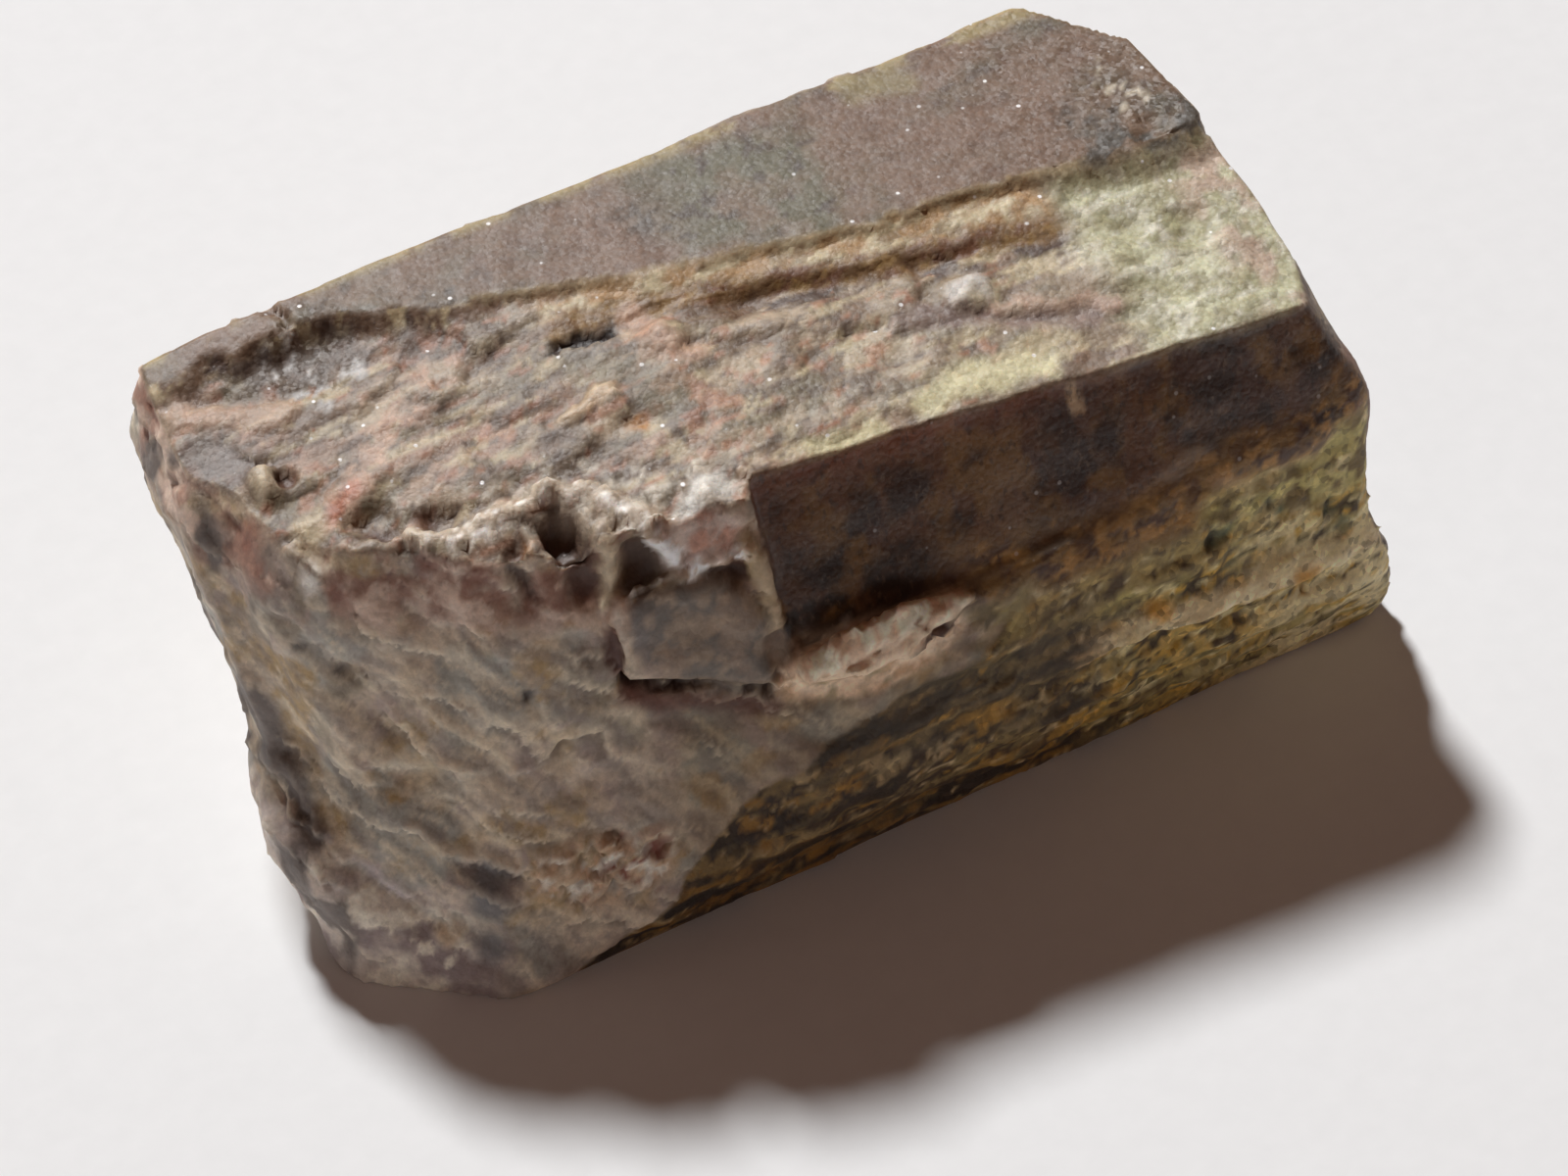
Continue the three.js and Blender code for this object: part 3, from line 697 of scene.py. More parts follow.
paint(back, (144, 127, 110))
dapple(back, (126, 111, 99), (5, 2, 1.4), 720, 0.5, 0.6)
dapple(0.7 * back, (156, 136, 104), (3.5, 1, 0.7), 730, 0.35, 0.5)
dapple(0.7 * back, (112, 94, 78), (2.2, 0.8, 0.6), 740, 0.3)
dapple(0.7 * back, (174, 155, 138), (1.5, 0.6, 0.5), 750, 0.22, 0.3)
dapple(0.8 * back, (94, 78, 64), (0.6, 0.4, 0.4), 755, 0.15, 0.25)
print("ground of the sides painted")

# %% [markdown]
# The marks follow. Each is a colour on the same middle or line that its relief has. The first are
# the light crest of the lip, the brown riser under its left part with painted shade, the brown
# cliff below the narrow band with painted shadow under it, and slots and ledge feet painted dark
# as shade.

# %% Lip, cliff and slots
def mark(places, colour, radius, weight=1.0):
    """Dabs a colour at each of several places on the top."""
    for place in places:
        paint(weight * on_top * spot(plan, (*place, 0), radius, 0.5), colour)


def stroke(line, colour, width, weight=1.0, over=1.0):
    """Draws a coloured line over the top."""
    paint(weight * over * on_top * along(plan, flat(line), width), colour)


crest_line = np.exp(-(((y - lip + 0.05) / 0.16) ** 2)) * rise(-9.5, -8.5, x) * fall(13, 14, x)
paint(0.6 * crest_line * on_top, CREAM)
# The riser faces away from the lamp: it is laid dark brown, partly its own colour and partly painted shade
riser = rise(-0.9, -0.7, y - lip) * fall(-0.1, 0.1, y - lip) * fall(-8.6, -7.4, x)
paint(0.8 * riser * near_step, (112, 84, 64))
dapple(riser * near_step, (78, 56, 46), (0.9, 0.6, 1), 798, 0.4, 0.3)
dapple(riser * near_step, CREAM, (0.5, 0.5, 1), 800, 0.25)
band = by_strip * rise(0.2, 0.5, from_strip) * (1 - behind_lip)
paint(0.6 * band, (170, 142, 106))
dapple(band, CREAM, (1.2, 0.4, 1), 810)
dapple(band, (176, 140, 98), (0.9, 0.4, 1), 820, 0.4)
cliff = by_strip * rise(-0.75, -0.45, from_strip) * fall(0.25, 0.55, from_strip)
paint(0.9 * cliff, (128, 96, 58))
dapple(cliff, (160, 128, 82), (0.5, 0.4, 1), 830, 0.4)
dapple(cliff * rise(-2.5, -1.5, x), (118, 78, 52), (0.7, 0.3, 1), 840, 0.3)
# Painted shadow under the cliff
painted_cliff_shadow = by_strip * rise(-1.5, -1.0, from_strip) * fall(-0.7, -0.4, from_strip)
dapple(painted_cliff_shadow, (84, 64, 54), (1.1, 0.5, 1), 850, 0.5, 0.3)
# Painted shade: a near-black slot, the foot of the cliff, the foot of a small ledge and a notch
stroke([(-6.7, 2.75), (-5.7, 2.65), (-4.8, 2.5)], (30, 20, 16), 0.26)
stroke([(-2.2, 1.7), (-1.2, 1.5), (0.4, 1.3)], (104, 78, 58), 0.45, 0.8)
stroke([(-2.7, 0.5), (-1.5, 0.05), (-0.4, -0.3)], (96, 70, 56), 0.22, 0.6)
stroke([(5.8, 0.5), (5.4, -0.9), (5.2, -1.9)], (110, 78, 62), 0.25, 0.5)
print("lip, cliff and slots painted")

# %% [markdown]
# Veins of pink and cream cross the top, with orange spots, pits and a notch painted dark as
# shade, clusters of white crystals, and painted glints near both ends. A vein is a line, and a
# grainy one is a line broken up by noise.

# %% Veins, spots and crystals of the top
pink_grains = rise(-0.3, 0.3, lumps(frayed, 0.5, 855, 2))
stroke(PINK_LINE, (212, 178, 160), 0.7, 0.8, pink_grains)
stroke([(-16.4, 0.2), (-15.2, 0.9)], (206, 132, 104), 0.3, 0.8)
stroke(LEFT_LINE, (208, 178, 160), 0.6, 0.7)
stroke([(-3.9, 2.6), (-3.5, 1.3), (-3.0, 0.2)], (204, 166, 148), 0.5, 0.7)
stroke([(-4.2, -0.6), (-3.4, -1.6), (-2.4, -2.2)], (196, 142, 118), 0.35, 0.6)
stroke([(7.6, -2.3), (9.4, -3.4), (11.4, -4.6)], (202, 172, 156), 0.25, 0.7)
stroke([(4.5, -1.9), (7.8, -3.2), (10.2, -4.7)], (138, 118, 116), 0.5, 0.8)
stroke([(3.4, -5.3), (5.2, -5.1), (7.6, -5.5)], (232, 226, 190), 0.6, 0.85)
stroke([(-1.2, -5.3), (0.0, -5.4), (1.4, -5.8)], (228, 220, 182), 0.4, 0.8)
stroke(FINGER, (216, 190, 160), 0.32, 0.9)
mark([(-17.7, 2.7), (-16.9, 0.3), (-17.5, 0.0)], (216, 200, 172), 0.6, 0.85)
# Painted shade: dark brown in three pits, the first beside the cream nodule
mark([(-16.8, 2.3), (-15.4, -0.9), (-13.6, -1.3)], (96, 62, 46), 0.45, 0.8)
mark([(-14.4, 6.5), (-13.2, 6.6), (-15.6, 6.9)], (104, 92, 86), 0.8, 0.8)
mark([(-18.9, 4.7), (-18.3, 3.8)], (132, 122, 120), 0.95, 0.85)
mark([(-5.8, -1.5), (-11.4, -4.0)], (186, 128, 52), 0.34, 0.9)
# Painted shade: the notch in the rim is laid dark brown
mark([(-9.9, -4.4)], (92, 70, 60), 0.7, 0.85)
paint(0.85 * rise(0.4, 0.9, notched) * off_top, (92, 68, 58))
mark([(-11.7, -3.9)], (110, 76, 60), 0.45, 0.7)
mark([(6.7, -1.8), (7.5, -1.6)], (226, 224, 228), 0.45, 0.8)
mark([(-5.2, -5.1), (-5.9, -5.6), (-4.7, -5.4), (-7.6, -5.3)], (240, 238, 238), 0.45, 0.95)
mark([(-6.2, 1.6), (-5.2, 0.9), (-4.6, -0.8)], (126, 120, 100), 0.8, 0.6)
mark([(-6.1, 2.1), (-5.3, 1.9)], (128, 122, 120), 0.45, 0.6)
WHITE_RIM = [
    (-14.4, -1.8), (-13.7, -2.5), (-12.4, -2.8), (-11.2, -2.6),
    (-9.9, -2.3), (-8.8, -2.9), (-7.9, -4.2), (-7.3, -5.6),
]
stroke(WHITE_RIM, (218, 202, 186), 0.4, 0.75)
rim_grains = rise(0.1, 0.5, lumps(frayed, 0.3, 860, 2))
stroke(WHITE_RIM, WHITE, 0.35, 0.9, rim_grains)
far_edge = rise(8.5, 9.1, y) * grey
dapple(far_edge, (168, 156, 122), 1.0, 870)
mark([(8.5, 8.4), (9.5, 8.2)], (150, 142, 108), 0.8, 0.6)
dapple(grey * rise(12.5, 14, x) * fall(2.0, 3.2, y), (84, 80, 78), 0.7, 880)
# Painted glints: small white dots near the right end of the grey top
painted_glints_right = on_top * spot(plan, (17.0, 3.6, 0), 2.0)
dapple(0.8 * painted_glints_right, (226, 222, 218), (0.5, 0.4, 1), 885, 0.06, 0.2)
# Painted glints: silvery dots in the dark patch near the left end of the top
painted_glints_left = on_top * spot(plan, (-14.2, 6.1, 0), 1.8)
dapple(painted_glints_left, (214, 214, 220), 0.45, 887, 0.12, 0.2)
print("marks on the top painted")

# %% [markdown]
# The sides are marked in the same way, by dabs and veins in space. On the fracture they are the
# reddish band under the rim, the pale lower corner, dark pits, pale lines just above the ledges as
# painted highlight, and the gravel with its brick-red grains.

# %% Marks on the fracture
def dab(places, colour, radius, weight=1.0):
    """Dabs a colour at each of several places on the sides."""
    for place in places:
        paint(weight * off_top * spot(ragged, place, radius, 0.5), colour)


def vein(line, colour, width, weight=1.0, over=1.0):
    """Draws a coloured line over the sides."""
    paint(weight * over * off_top * along(frayed, line, width), colour)


under_rim = shell * rise(12.3, 14.2, z)
dapple(under_rim, (150, 112, 96), (1.4, 1.2, 1.4), 900)
dapple(0.7 * under_rim, (132, 84, 68), (0.9, 0.9, 1.2), 905, 0.2, 0.3)
dapple(under_rim, (206, 180, 164), (0.9, 0.9, 1.0), 910, 0.3)
vein([(-17.9, -0.7, 15.0), (-17.8, -1.0, 13.9)], (246, 242, 238), 0.34)
corner = shell * fall(3.0, 5.5, z + 0.4 * (x + 19)) * fall(-16.5, -15.5, x)
paint(0.7 * corner, (206, 192, 184))
dapple(corner, (150, 132, 130), (2.2, 1.4, 1.8), 932, 0.35)
dapple(corner, (232, 220, 204), (1.2, 0.7, 0.9), 934, 0.14, 0.2)
dab([(-18.5, -1.6, 11.7), (-17.6, -2.5, 11.4), (-12.8, -6.4, 11.0)], (70, 62, 60), 0.3)
dab([(-17.2, -8.2, 2.2)], (206, 182, 156), 0.5)
dab([(-15.6, -8.8, 3.6), (-15.9, -9.4, 2.2), (-15.3, -8.2, 4.6)], (104, 104, 108), 0.7, 0.8)
vein([(-19.8, -4.1, 5.2), (-19.0, -5.5, 4.6), (-18.0, -6.9, 3.5)], (200, 184, 188), 0.2, 0.7)
# Painted highlight: a pale line just above each of the first three ledges
for line in SHELL_LEDGES[:3]:
    vein(np.array(line) + (0, 0.1, 0.3), (200, 178, 152), 0.28, 0.6)
dapple(0.8 * gravel * (1 - ochre), (196, 156, 124), 0.6, 930)
dapple(gravel, (214, 186, 158), 0.5, 940, 0.35, 0.3)
dapple(gravel, (236, 226, 214), 0.4, 945, 0.14, 0.2)
dapple(gravel, (128, 66, 52), 0.5, 950, 0.12, 0.2)
left_end = fall(-19.9, -19.3, x) * off_top
dapple(left_end, (110, 98, 92), 1.4, 960)
print("marks on the fracture painted")

# %% [markdown]
# Under the rim the hollows are painted dark as shade, the pillar is cream, and the shelf is pale
# pink with a rim of white crystals. The slab is grey. The hollow beside it is painted dark as
# shade, rust has settled in the crevice round it, and the crevice's floor is painted near-black as
# shade.

# %% Hollows, shelf and slab
# Painted shade in the hollows under the rim
for line, width in RIM_HOLLOWS:
    vein(line, (84, 60, 52), width, 0.85)
vein(PILLAR, (212, 194, 166), 0.3, 0.9)
paint(0.8 * shelf, (220, 202, 190))
dapple(shelf, (196, 150, 130), 0.8, 955, 0.3)

paint(0.9 * on_slab, (154, 140, 138))
dapple(on_slab, (122, 118, 122), 1.4, 965)
dapple(0.6 * on_slab, (186, 168, 158), 0.7, 967, 0.25)
# Painted shade in the hollow between the slab and the glassy face
paint(0.85 * hollowed * off_top, (84, 58, 48))
vein(np.array(crevice) - (0, 0.3, 0.6), (112, 60, 46), 0.5, 0.85)
vein(crevice_side, (88, 42, 32), 0.38, 0.9)
# Painted shade: the floor of the crevice near-black
vein(crevice, (40, 22, 18), 0.36)
slab_rim = [(-9.1, -6.6, 13.9), (-8.5, -6.4, 14.3), (-7.9, -6.5, 14.4), (-7.1, -6.8, 14.4)]
vein(slab_rim, WHITE, 0.3, 1.0, rim_grains)
shelf_grains = rise(-0.2, 0.2, lumps(frayed, 0.35, 862, 2)) * off_top
vein(shelf_rim, (240, 238, 236), 0.36, 1.0, shelf_grains)
vein([(-9.1, -6.7, 13.6), (-9.2, -6.9, 12.6), (-9.2, -7.5, 11.3)], (206, 190, 178), 0.26, 0.8)
vein(rod, (212, 190, 158), 0.34)
print("hollows, shelf and slab painted")

# %% [markdown]
# The glassy face has an orange-brown upper edge and upright streaks. Towards its foot it turns
# dull, and grains of ochre take over little by little. The pink ridge and its shard lie there,
# with a painted shadow line under the shard.

# %% Glassy face and its foot
fringe = glass * np.exp(-np.clip(15.9 - z, 0, 9) / 0.45) * fall(8, 12, x)
paint(0.6 * fringe, (150, 88, 54))
upright_axes = np.array([[0.8, 0.6, 0], [0, 0, 1], [-0.6, 0.8, 0]]).T
glass_streaks = lumps(frayed @ upright_axes, (0.5, 2.4, 1), 970)
paint(0.35 * glass * rise(0.2, 0.6, glass_streaks), (122, 92, 62))
dab([(5.0, -8.2, 12.7), (16.2, -8.7, 13.2)], (120, 110, 118), 0.7, 0.45)
dab([(11.6, -9.0, 12.3), (10.9, -9.3, 11.6)], (138, 110, 74), 0.7, 0.6)
dab([(18.7, -8.2, 12.9), (18.6, -9.4, 12.0), (18.9, -9.9, 10.7)], (132, 92, 72), 0.8, 0.8)
vein([(8.2, -6.7, 15.9), (8.2, -7.1, 15.0)], (206, 190, 170), 0.22)

dab([(-2.2, -8.2, 13.1), (1.0, -8.6, 12.4), (6.2, -9.0, 11.4)], (46, 33, 28), 1.0, 0.6)
glass_low = glass * fall(0.8, 2.4, z - glass_foot)
dull_foot = glass_low * rise(1, 4, x)
dapple(dull_foot, (156, 134, 90), (0.9, 0.6, 0.8), 975, 0.8, 0.5)
dapple(dull_foot, (88, 62, 44), (0.8, 0.5, 0.6), 977, 0.35, 0.3)
dapple(dull_foot, (190, 158, 100), (0.5, 0.4, 0.4), 978, 0.2, 0.25)
dapple(glass_low * fall(0, 3, x), (40, 28, 22), 0.9, 976, 0.6, 0.3)
foot = off_top * rise(-1.6, -0.2, glass_foot - z) * fall(1.2, 2.4, glass_foot - z) * front
foot *= rise(1, 4, x)
dapple(foot, (176, 160, 112), 0.9, 980, 0.6)
dapple(foot, (112, 94, 62), (0.8, 0.5, 0.5), 982, 0.3, 0.3)
past_glass = z - 11.45 + 0.12 * x + 0.3 * wobble
upper_foot = rise(-2.4, -1.6, past_glass) * fall(-0.5, 0.4, past_glass) * off_top * front
upper_foot *= rise(3, 6, x) * fall(11, 13, x)
paint(0.6 * upper_foot, (134, 112, 70))
gold_grains = upper_foot * rise(-0.15, 0.3, lumps(frayed, 0.5, 983, 2))
paint(0.75 * gold_grains, (182, 158, 104))
dapple(upper_foot, (208, 190, 152), 0.45, 984, 0.12, 0.25)
dapple(upper_foot, (84, 64, 42), (0.6, 0.4, 0.4), 986, 0.15, 0.25)
vein([(12.6, -9.9, 11.4), (13.7, -9.9, 10.7), (14.4, -10.0, 10.2)], (192, 170, 138), 0.34, 0.8)
pink_ridge = spot(frayed, (-1.1, -9.5, 9.8), 1.25, 0.12, (3.0, 1.2, 1.0)) * off_top
paint(0.9 * pink_ridge, (208, 180, 160))
dapple(pink_ridge, (170, 138, 112), (1.2, 0.5, 0.5), 985, 0.35, 0.2)
dapple(pink_ridge * fall(9.2, 9.8, z), (150, 132, 108), 0.7, 987, 0.5, 0.3)
vein(spur, (224, 202, 186), 0.45, 0.9)
dapple(along(frayed, spur, 0.5) * off_top, (186, 154, 132), 0.6, 988, 0.3, 0.3)
# Painted shadow line under the shard
vein([(2.2, -10.1, 10.4), (0.9, -10.2, 10.2), (0.0, -10.2, 9.9)], (70, 44, 34), 0.22)
dab([(-2.2, -8.9, 11.2), (-1.6, -8.9, 11.1)], (206, 210, 216), 0.3, 0.7)
print("glassy face painted")

# %% [markdown]
# The front runs from olive and near-black at the left to gold and cream at the right, always in
# streaks along the ribs. Blue-green grains sit high at the right, and orange ones lower down.

# %% Marks on the front
paint(0.85 * pink_ledge * ochre, (198, 172, 152))
dapple(pink_ledge * ochre, (226, 206, 190), (1.6, 0.4, 0.3), 990, 0.4)
olive = ochre * rise(5.0, 6.2, z + 0.25 * x) * fall(6, 9, x) * fall(8.2, 9.2, z)
dapple(0.8 * olive, (92, 82, 68), (4, 0.8, 0.5), 1000, 0.6, 0.5)
dapple(0.7 * olive, (140, 122, 92), (2.2, 0.5, 0.35), 1002, 0.3, 0.3)
dapple(0.8 * olive, (56, 46, 38), (2.4, 0.5, 0.35), 1004, 0.3, 0.3)
low_edge = ochre * fall(2.2, 3.6, z + 0.3 * wobble) * fall(6, 12, x)
dapple(low_edge, (160, 124, 62), (1.4, 0.6, 0.5), 1010, 0.45, 0.3)
dapple(low_edge, (50, 38, 30), (1.6, 0.6, 0.5), 1015, 0.4, 0.3)
dapple(np.clip(grains, 0, 1) * ochre * rise(6, 9, x), (186, 152, 96), 0.5, 1020, 0.35, 0.25)
dapple(ochre * rise(12, 16, x), (208, 188, 164), (1.6, 0.4, 0.35), 1025, 0.45, 0.3)
golden = spot(frayed, (2.4, -11.0, 5.6), 0.9, 0.5, (1.5, 1, 0.6))
golden = np.maximum(golden, spot(frayed, (6.1, -10.8, 2.4), 0.9, 0.5, (1.7, 1, 0.8)))
dapple(0.8 * golden * off_top, (196, 154, 76), 0.5, 1012, 0.6, 0.3)
dab([(9.6, -10.9, 7.1), (15.7, -11.1, 6.0)], (200, 144, 62), 0.5, 0.8)
dab([(-1.5, -11.1, 5.4), (-0.7, -11.1, 5.5)], (226, 210, 178), 0.4, 0.8)
dab([(-4.4, -10.9, 3.6), (-5.4, -10.9, 3.3)], (208, 190, 156), 0.55, 0.8)
for place, radius, _ in FRONT_SPOTS[:6]:
    dab([place], (62, 78, 76), radius, 0.85)
dab([(12.7, -10.3, 9.3), (15.1, -10.1, 8.9), (17.6, -10.7, 7.0)], (74, 88, 80), 0.35, 0.7)
dab([(14.4, -11.4, 5.4), (17.6, -11.6, 4.1)], (52, 34, 24), 0.2)
dapple(off_top * rise(14, 16, x) * ochre * rise(8.0, 8.8, z), (176, 160, 118), 0.8, 1030)
dapple(off_top * rise(13, 16, x) * front * rise(8.0, 8.8, z), (112, 92, 62), 0.6, 1032, 0.35, 0.3)
print("front painted")

# %% [markdown]
# A thin wash then goes over each surface, to settle how light and how warm it is as a whole. It is
# a multiplication, so the patches under it stay. The brightest marks are kept out of it, and are
# lightened instead.

# %% Washes
left_front = fall(-2, 2, x)
right_front = rise(5, 9, x)
WASHES = [
    (grey, (0.86, 0.79, 0.64)),
    (pale * fall(9.5, 11.5, x) * rise(-8, -3, x), (0.85, 0.83, 0.74)),
    (pale * fall(-8, -3, x), (0.76, 0.73, 0.66)),
    (glass * left_front, (0.77, 0.61, 0.44)),
    (glass * (1 - left_front), (0.87, 0.7, 0.52)),
    (shell * fall(-10, -7.5, x), (1.13, 1.16, 1.14)),
    (shell * rise(-10, -7.5, x), (0.75, 0.71, 0.6)),
    (ochre * left_front, (0.62, 0.53, 0.36)),
    (ochre * (1 - left_front) * (1 - right_front), (1.0, 0.94, 0.7)),
    (ochre * right_front, (1.32, 1.4, 1.05)),
    (on_slab, (1.3, 1.28, 1.2)),
]
bright_ridge = np.clip(pink_ridge + along(frayed, spur, 0.5), 0, 1)
white_rim = along(frayed, shelf_rim, 0.36) * shelf_grains
top_rim = on_top * along(plan, flat(WHITE_RIM), 0.4) * rim_grains
kept_bright = np.clip(bright_ridge + shelf + white_rim + top_rim + 0.7 * upper_foot, 0, 1)
for weight, wash in WASHES:
    tint *= 1 + (np.clip(weight, 0, 1) * (1 - kept_bright))[:, None] * (np.array(wash) - 1)
RIDGE_GAIN = np.array((0.62, 0.72, 0.62))
RIM_GAIN = 0.3
lightened = bright_ridge[:, None] * RIDGE_GAIN + RIM_GAIN * (white_rim + top_rim + 0.3 * shelf)[:, None]
tint *= 1 + lightened
print("brightest point:", tint.max().round(2))

# %% [markdown]
# Hollows and crests are found by comparing the surface with a smoothed copy of itself: a point that
# lies below the copy is in a hollow. It is done twice, for fine and for broad forms. The hollows
# are darkened with brown as painted shade, and the crests are paled.

# %% Painted shade in the hollows, paled crests
FINE_ROUNDS = 4
BROAD_ROUNDS = 40

facing_now = read(stone, "vertex_normals")
fine_depth = ((softened(shaped, FINE_ROUNDS) - shaped) * facing_now).sum(1)
broad_depth = ((softened(shaped, BROAD_ROUNDS) - shaped) * facing_now).sum(1)
hollow = 0.7 * rise(0.02, 0.16, fine_depth) + 0.8 * rise(0.05, 0.5, broad_depth)
crest = rise(0.01, 0.1, -fine_depth)
rough_stone = (1 - 0.6 * glass - 0.6 * grey) * (1 - 0.7 * kept_bright)
# Painted shade: brown laid into the hollows, which are then darkened further
paint(0.4 * np.clip(hollow, 0, 1) * rough_stone, (92, 62, 48))
tint *= (1 - 0.2 * np.clip(hollow, 0, 1) * rough_stone)[:, None]
paint(0.25 * crest * rough_stone * (1 - 0.8 * ochre), (224, 210, 188))
print("deepest hollow, mm:", broad_depth.max().round(2))

# %% [markdown]
# Three more numbers go with the colour: how glossy, sparkling and gritty each place is. They are
# stored as the channels of a second colour, because a shader reads that in one step.

# %% Store colour and finish
MOST_SPARKLE = 1.6

gloss = 0.45 * grey + 0.5 * pale + 0.8 * glass + 0.35 * shell + 0.15 * ochre + 0.2 * back
sparkle = 0.4 * grey + 0.4 * pale + 0.25 * glass + 0.1 * shell + 0.3 * sugar
sparkle += 0.3 * on_top * rise(10.5, 13, x) + 0.8 * on_top * spot(plan, (-14.4, 6.6, 0), 1.8)
sparkle += 0.7 * on_top * spot(plan, (17.2, 3.6, 0), 2.2)
grit = 0.1 * grey + 0.35 * pale + 0.1 * glass + 0.2 * shell + 0.7 * ochre + 0.5 * back
gloss -= 0.35 * dull_foot
grit += 0.4 * dull_foot


def store(piece, name, columns):
    """Stores three numbers on each point, under a name that the shader reads."""
    layer = piece.data.attributes.new(name, "FLOAT_COLOR", "POINT")
    values = np.ones((len(columns), 4))
    values[:, :3] = np.clip(columns, 0, 1)
    layer.data.foreach_set("color", values.ravel())


store(stone, "stone_tint", tint)
store(stone, "stone_finish", np.stack([gloss, sparkle / MOST_SPARKLE, grit], 1))
print("colour and finish stored")

# %% [markdown]
# ## The stone's finish
# The colours on the points are a fifth of a millimetre apart. Everything finer is made by the
# shader: grains that are each a little lighter or darker, dark specks, tiny facets that catch the
# light, and painted glints, small white dots in the colour where the stone sparkles. The three
# numbers stored with the colour say how glossy, sparkling and gritty each place is. A small class
# lets sockets be added and multiplied as numbers are, so that a finish can be read as a sum.

# %% Shader sums
class Wire:
    """A shader socket that can be added, subtracted and multiplied."""

    tree = None

    def __init__(self, socket):
        self.socket = socket

    @classmethod
    def node(cls, kind, settings, inputs, output=0):
        """Makes a node: its settings first, then the numbers or wires of its sockets."""
        made = cls.tree.nodes.new(kind)
        for name, value in settings.items():
            setattr(made, name, value)
        for name, value in inputs.items():
            if isinstance(value, Wire):
                cls.tree.links.new(value.socket, made.inputs[name])
            else:
                made.inputs[name].default_value = value
        return cls(made.outputs[output])

    def feed(self, node, name):
        """Links this wire to a socket of a node."""
        Wire.tree.links.new(self.socket, node.inputs[name])

    def maths(self, operation, first, second):
        return Wire.node("ShaderNodeMath", {"operation": operation}, {0: first, 1: second})

    def __add__(self, other):
        return self.maths("ADD", self, other)

    def __radd__(self, other):
        return self.maths("ADD", other, self)

    def __sub__(self, other):
        return self.maths("SUBTRACT", self, other)

    def __rsub__(self, other):
        return self.maths("SUBTRACT", other, self)

    def __mul__(self, other):
        return self.maths("MULTIPLY", self, other)

    def __rmul__(self, other):
        return self.maths("MULTIPLY", other, self)

    def ramp(self, start, end):
        """0 below start, 1 above end."""
        ends = {"Value": self, "From Min": start, "From Max": end}
        return Wire.node("ShaderNodeMapRange", {"interpolation_type": "SMOOTHSTEP"}, ends)


print("wires can be added, subtracted and multiplied")

# %% [markdown]
# The nodes that are used more than once get a short function each: mixed colours, sums of places,
# clouds, cells and bumps. A pattern's scale says how many of its lumps lie in a metre.

# %% Shader pieces
def blend(factor, first, second, way="MIX"):
    """Mixes two colours."""
    settings = {"data_type": "RGBA", "blend_type": way, "clamp_factor": True}
    return Wire.node("ShaderNodeMix", settings, {0: factor, 6: first, 7: second}, 2)


def vectors(operation, first, second, output="Vector"):
    """A sum on places or directions."""
    return Wire.node("ShaderNodeVectorMath", {"operation": operation}, {0: first, 1: second}, output)


def channel(wire, name):
    """One channel of a colour, as a number."""
    return Wire.node("ShaderNodeSeparateColor", {}, {"Color": wire}, name)


def attribute(name):
    return Wire.node("ShaderNodeAttribute", {"attribute_name": name}, {}, "Color")


def clouds(at, scale, detail, roughness=0.5):
    """Soft noise in several sizes."""
    looks = {"Vector": at, "Scale": scale, "Detail": detail, "Roughness": roughness}
    return Wire.node("ShaderNodeTexNoise", {}, looks)


def cells(at, scale, output):
    """A pattern of cells: a random colour for each, its middle, or the distance to it."""
    return Wire.node("ShaderNodeTexVoronoi", {}, {"Vector": at, "Scale": scale}, output)


def bump(strength, distance, height):
    looks = {"Strength": strength, "Distance": distance, "Height": height}
    return Wire.node("ShaderNodeBump", {}, looks, "Normal")


def new_material(name):
    """A new material, with its main shader node."""
    material = bpy.data.materials.new(name)
    material.use_nodes = True
    Wire.tree = material.node_tree
    return material, material.node_tree.nodes["Principled BSDF"]


print("shader pieces ready")

# %% [markdown]
# One finish covers the whole stone. Clouds and grains shade the painted colour, dark specks lie on
# the gritty places, and fibres stand upright in the glassy face. Painted glints put small white
# dots into the colour where the stone sparkles. A facet is a cell whose height slopes its own way
# from its middle, so that here and there one turns a glint to the light.

# %% The stone
CLOUD_SCALE = 2800.0
GRAIN_SCALE = 4200.0
GLINT_SCALE = 2300.0
FIBRE_SCALE = 4600.0
FACET_SCALE = 6200.0
DARK_SPECK, FIBRE_LIGHT = (0.05, 0.03, 0.02, 1), (0.2, 0.13, 0.08, 1)
FIBRE_DARK, PAINTED_GLINT_WHITE = (0.02, 0.012, 0.01, 1), (0.95, 0.95, 0.95, 1)

stone_finish, surface = new_material("apatite_stone")
place = Wire.node("ShaderNodeTexCoord", {}, {}, "Object")
painted = attribute("stone_tint")
finish = attribute("stone_finish")
glossy, sparkling, gritty = (channel(finish, name) for name in ("Red", "Green", "Blue"))

cloud = clouds(place, CLOUD_SCALE, 7.0, 0.7)
grain_shade = channel(cells(place, GRAIN_SCALE, "Color"), "Red")
grain_bump = cells(place, GRAIN_SCALE, "Distance")
glint_pick = channel(cells(place, GLINT_SCALE, "Color"), "Green")
glint_reach = cells(place, GLINT_SCALE, "Distance")
painted_glint = glint_pick.ramp(0.93, 0.94) * (1 - glint_reach.ramp(0.12, 0.24)) * sparkling.ramp(0.02, 0.4)

glassy = glossy.ramp(0.66, 0.78)
fibres = clouds(vectors("MULTIPLY", place, (1.0, 1.0, 0.3)), FIBRE_SCALE, 4.0)

lean = vectors("SUBTRACT", cells(place, FACET_SCALE, "Color"), (0.5, 0.5, 0.5))
offset = vectors("SUBTRACT", place, cells(place, FACET_SCALE, "Position"))
facet = vectors("DOT_PRODUCT", lean, offset, "Value")

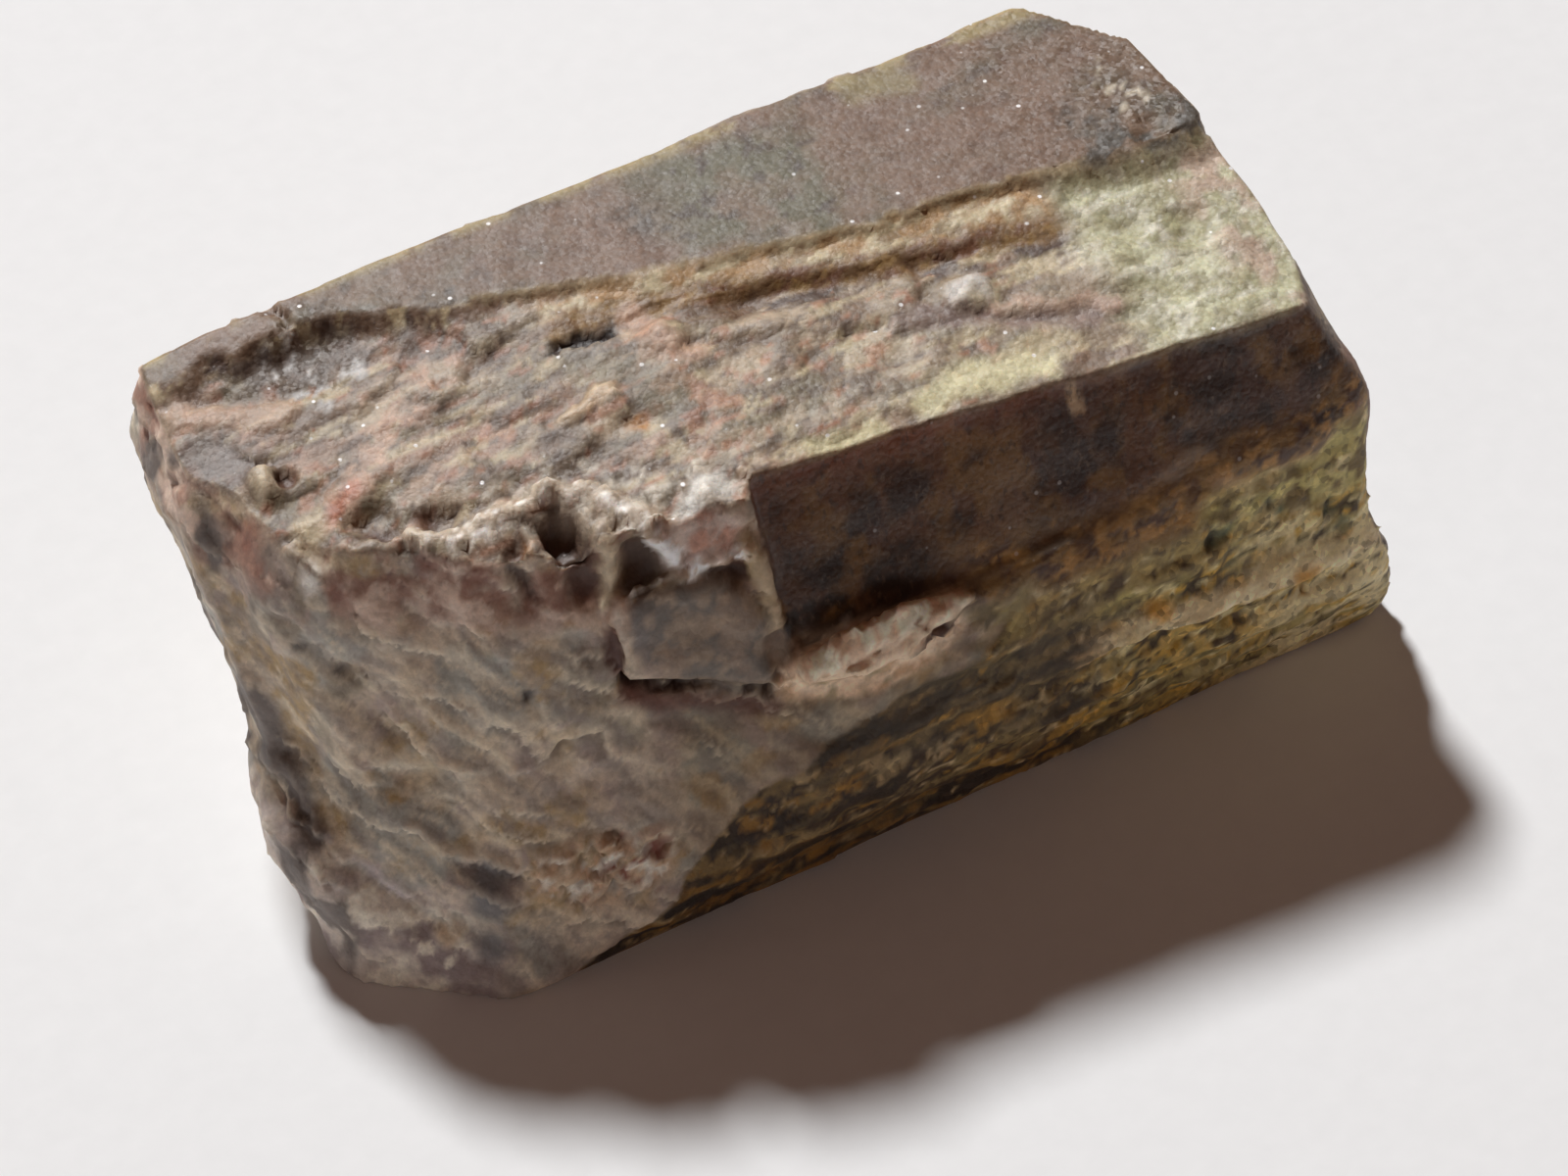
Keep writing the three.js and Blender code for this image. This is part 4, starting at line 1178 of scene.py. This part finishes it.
shade = 0.5 + cloud + grain_shade.ramp(0.75, 0.95) * gritty * 0.45
colour = blend(1.0, painted, shade, "MULTIPLY")
colour = blend((1 - grain_shade.ramp(0.05, 0.14)) * gritty * 0.55, colour, DARK_SPECK)
colour = blend(fibres.ramp(0.55, 0.72) * glassy * 0.45, colour, FIBRE_LIGHT)
colour = blend((1 - fibres.ramp(0.32, 0.46)) * glassy * 0.5, colour, FIBRE_DARK)
# Painted glints: white dots in the base colour where the stone sparkles
blend(painted_glint, colour, PAINTED_GLINT_WHITE).feed(surface, "Base Color")
rough = 0.72 - 0.4 * glossy + 0.3 * (cloud - 0.5) - 0.3 * painted_glint
rough.feed(surface, "Roughness")
fine_height = (cloud * 0.00007 - grain_bump * 0.00004) * (0.25 + 0.75 * gritty)
bump(1.0, 1.0, fine_height + facet * sparkling * 0.5).feed(surface, "Normal")
SURFACE_LOOKS = {
    "IOR": 1.6, "Subsurface Weight": 0.2, "Subsurface Radius": (1.0, 0.6, 0.4), "Subsurface Scale": 0.0006,
}
for name, value in SURFACE_LOOKS.items():
    surface.inputs[name].default_value = value
stone.data.materials.append(stone_finish)
print("shader nodes:", len(Wire.tree.nodes))

# %% [markdown]
# The stone goes back to its place and its real size, with both applied to its mesh, because the
# export puts every object at the origin. It rides on the root body and stands in for the solid.

# %% Real size, and the solid replaced
only(stone)
bpy.ops.transform.translate(value=MARK)
bpy.ops.object.transform_apply(location=True, rotation=False, scale=False)
bpy.ops.transform.resize(value=(1 / MM, 1 / MM, 1 / MM))
bpy.ops.object.transform_apply(location=False, rotation=False, scale=True)
bpy.ops.object.shade_smooth()
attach(stone, "root")
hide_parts("apatite_crystal")
print("triangles:", sum(len(square.vertices) - 2 for square in stone.data.polygons))

# %% [markdown]
# ## Paper, light and camera
# The stone lies on white paper, whose fibres show as a faint unevenness of colour and height. One
# large square is enough for it. It is a stage for the stone and no part of it.

# %% Paper
PAPER_LOW, PAPER_HIGH = (0.83, 0.845, 0.855, 1), (0.88, 0.895, 0.905, 1)

bpy.ops.mesh.primitive_plane_add(size=3, location=(0, 0, 0))
paper = bpy.context.active_object
paper.name = "paper_floor"
paper_finish, sheet = new_material("paper")
place = Wire.node("ShaderNodeTexCoord", {}, {}, "Object")
fibres = clouds(place, 900.0, 3.0)
blend(fibres, PAPER_LOW, PAPER_HIGH).feed(sheet, "Base Color")
bump(0.3, 0.00004, fibres).feed(sheet, "Normal")
sheet.inputs["Roughness"].default_value = 0.9
paper.data.materials.append(paper_finish)
print("paper laid")

# %% [markdown]
# One small bright light high behind the stone throws the shadow forward, and leaves the front and
# the fracture to be lit by what the paper throws back. A wide weak one stands for a wall at the
# left, and a faint warm light from all round keeps the shadow from going black.

# %% Light
ROOM_COLOUR = (1.0, 0.5, 0.33, 1)
ROOM_STRENGTH = 0.078

room = bpy.data.worlds.new("room")
bpy.context.scene.world = room
room.use_nodes = True
room.node_tree.nodes["Background"].inputs["Color"].default_value = ROOM_COLOUR
room.node_tree.nodes["Background"].inputs["Strength"].default_value = ROOM_STRENGTH


def lamp(name, direction, distance, size, power):
    """A round lamp that shines on the stone from a direction."""
    light = bpy.data.objects.new(name, bpy.data.lights.new(name, "AREA"))
    bpy.context.scene.collection.objects.link(light)
    light.data.shape = "DISK"
    light.data.size = size
    light.data.energy = power
    light.location = Vector(direction).normalized() * distance
    light.rotation_mode = "QUATERNION"
    light.rotation_quaternion = (-Vector(direction)).to_track_quat("-Z", "Y")


lamp("window", (0.014, 0.674, 0.739), distance=2.0, size=0.267, power=46.5)
lamp("left_wall", (-0.85, -0.45, 0.3), distance=1.0, size=0.6, power=0.7)
print("lamps:", len(bpy.data.lights))

# %% [markdown]
# The camera looks down from the front left through a long lens, which keeps the crystal's edges
# nearly parallel. Two angles and a distance round the point it aims at set it, because each of them
# can be changed alone.

# %% Camera
CAMERA_AIM = (1.23, 0.57, 0.7)
CAMERA_AZIMUTH = -28.5
CAMERA_HEIGHT = 52.0
CAMERA_DISTANCE = 165.6
CAMERA_VIEW = 20.0
SENSOR_WIDTH = 36.0

turn, climb = math.radians(CAMERA_AZIMUTH), math.radians(CAMERA_HEIGHT)
away = Vector((math.sin(turn) * math.cos(climb), -math.cos(turn) * math.cos(climb), math.sin(climb)))
camera = bpy.data.objects.new("camera", bpy.data.cameras.new("camera"))
bpy.context.scene.collection.objects.link(camera)
camera.data.sensor_width = SENSOR_WIDTH
camera.data.lens = SENSOR_WIDTH / 2 / math.tan(math.radians(CAMERA_VIEW / 2))
camera.data.clip_start = 0.01
camera.location = (Vector(CAMERA_AIM) + away * CAMERA_DISTANCE) / MM
camera.rotation_mode = "QUATERNION"
camera.rotation_quaternion = (-away).to_track_quat("-Z", "Y")
bpy.context.scene.camera = camera
bpy.context.scene.view_settings.view_transform = "Standard"
print("lens, mm:", round(camera.data.lens, 1))
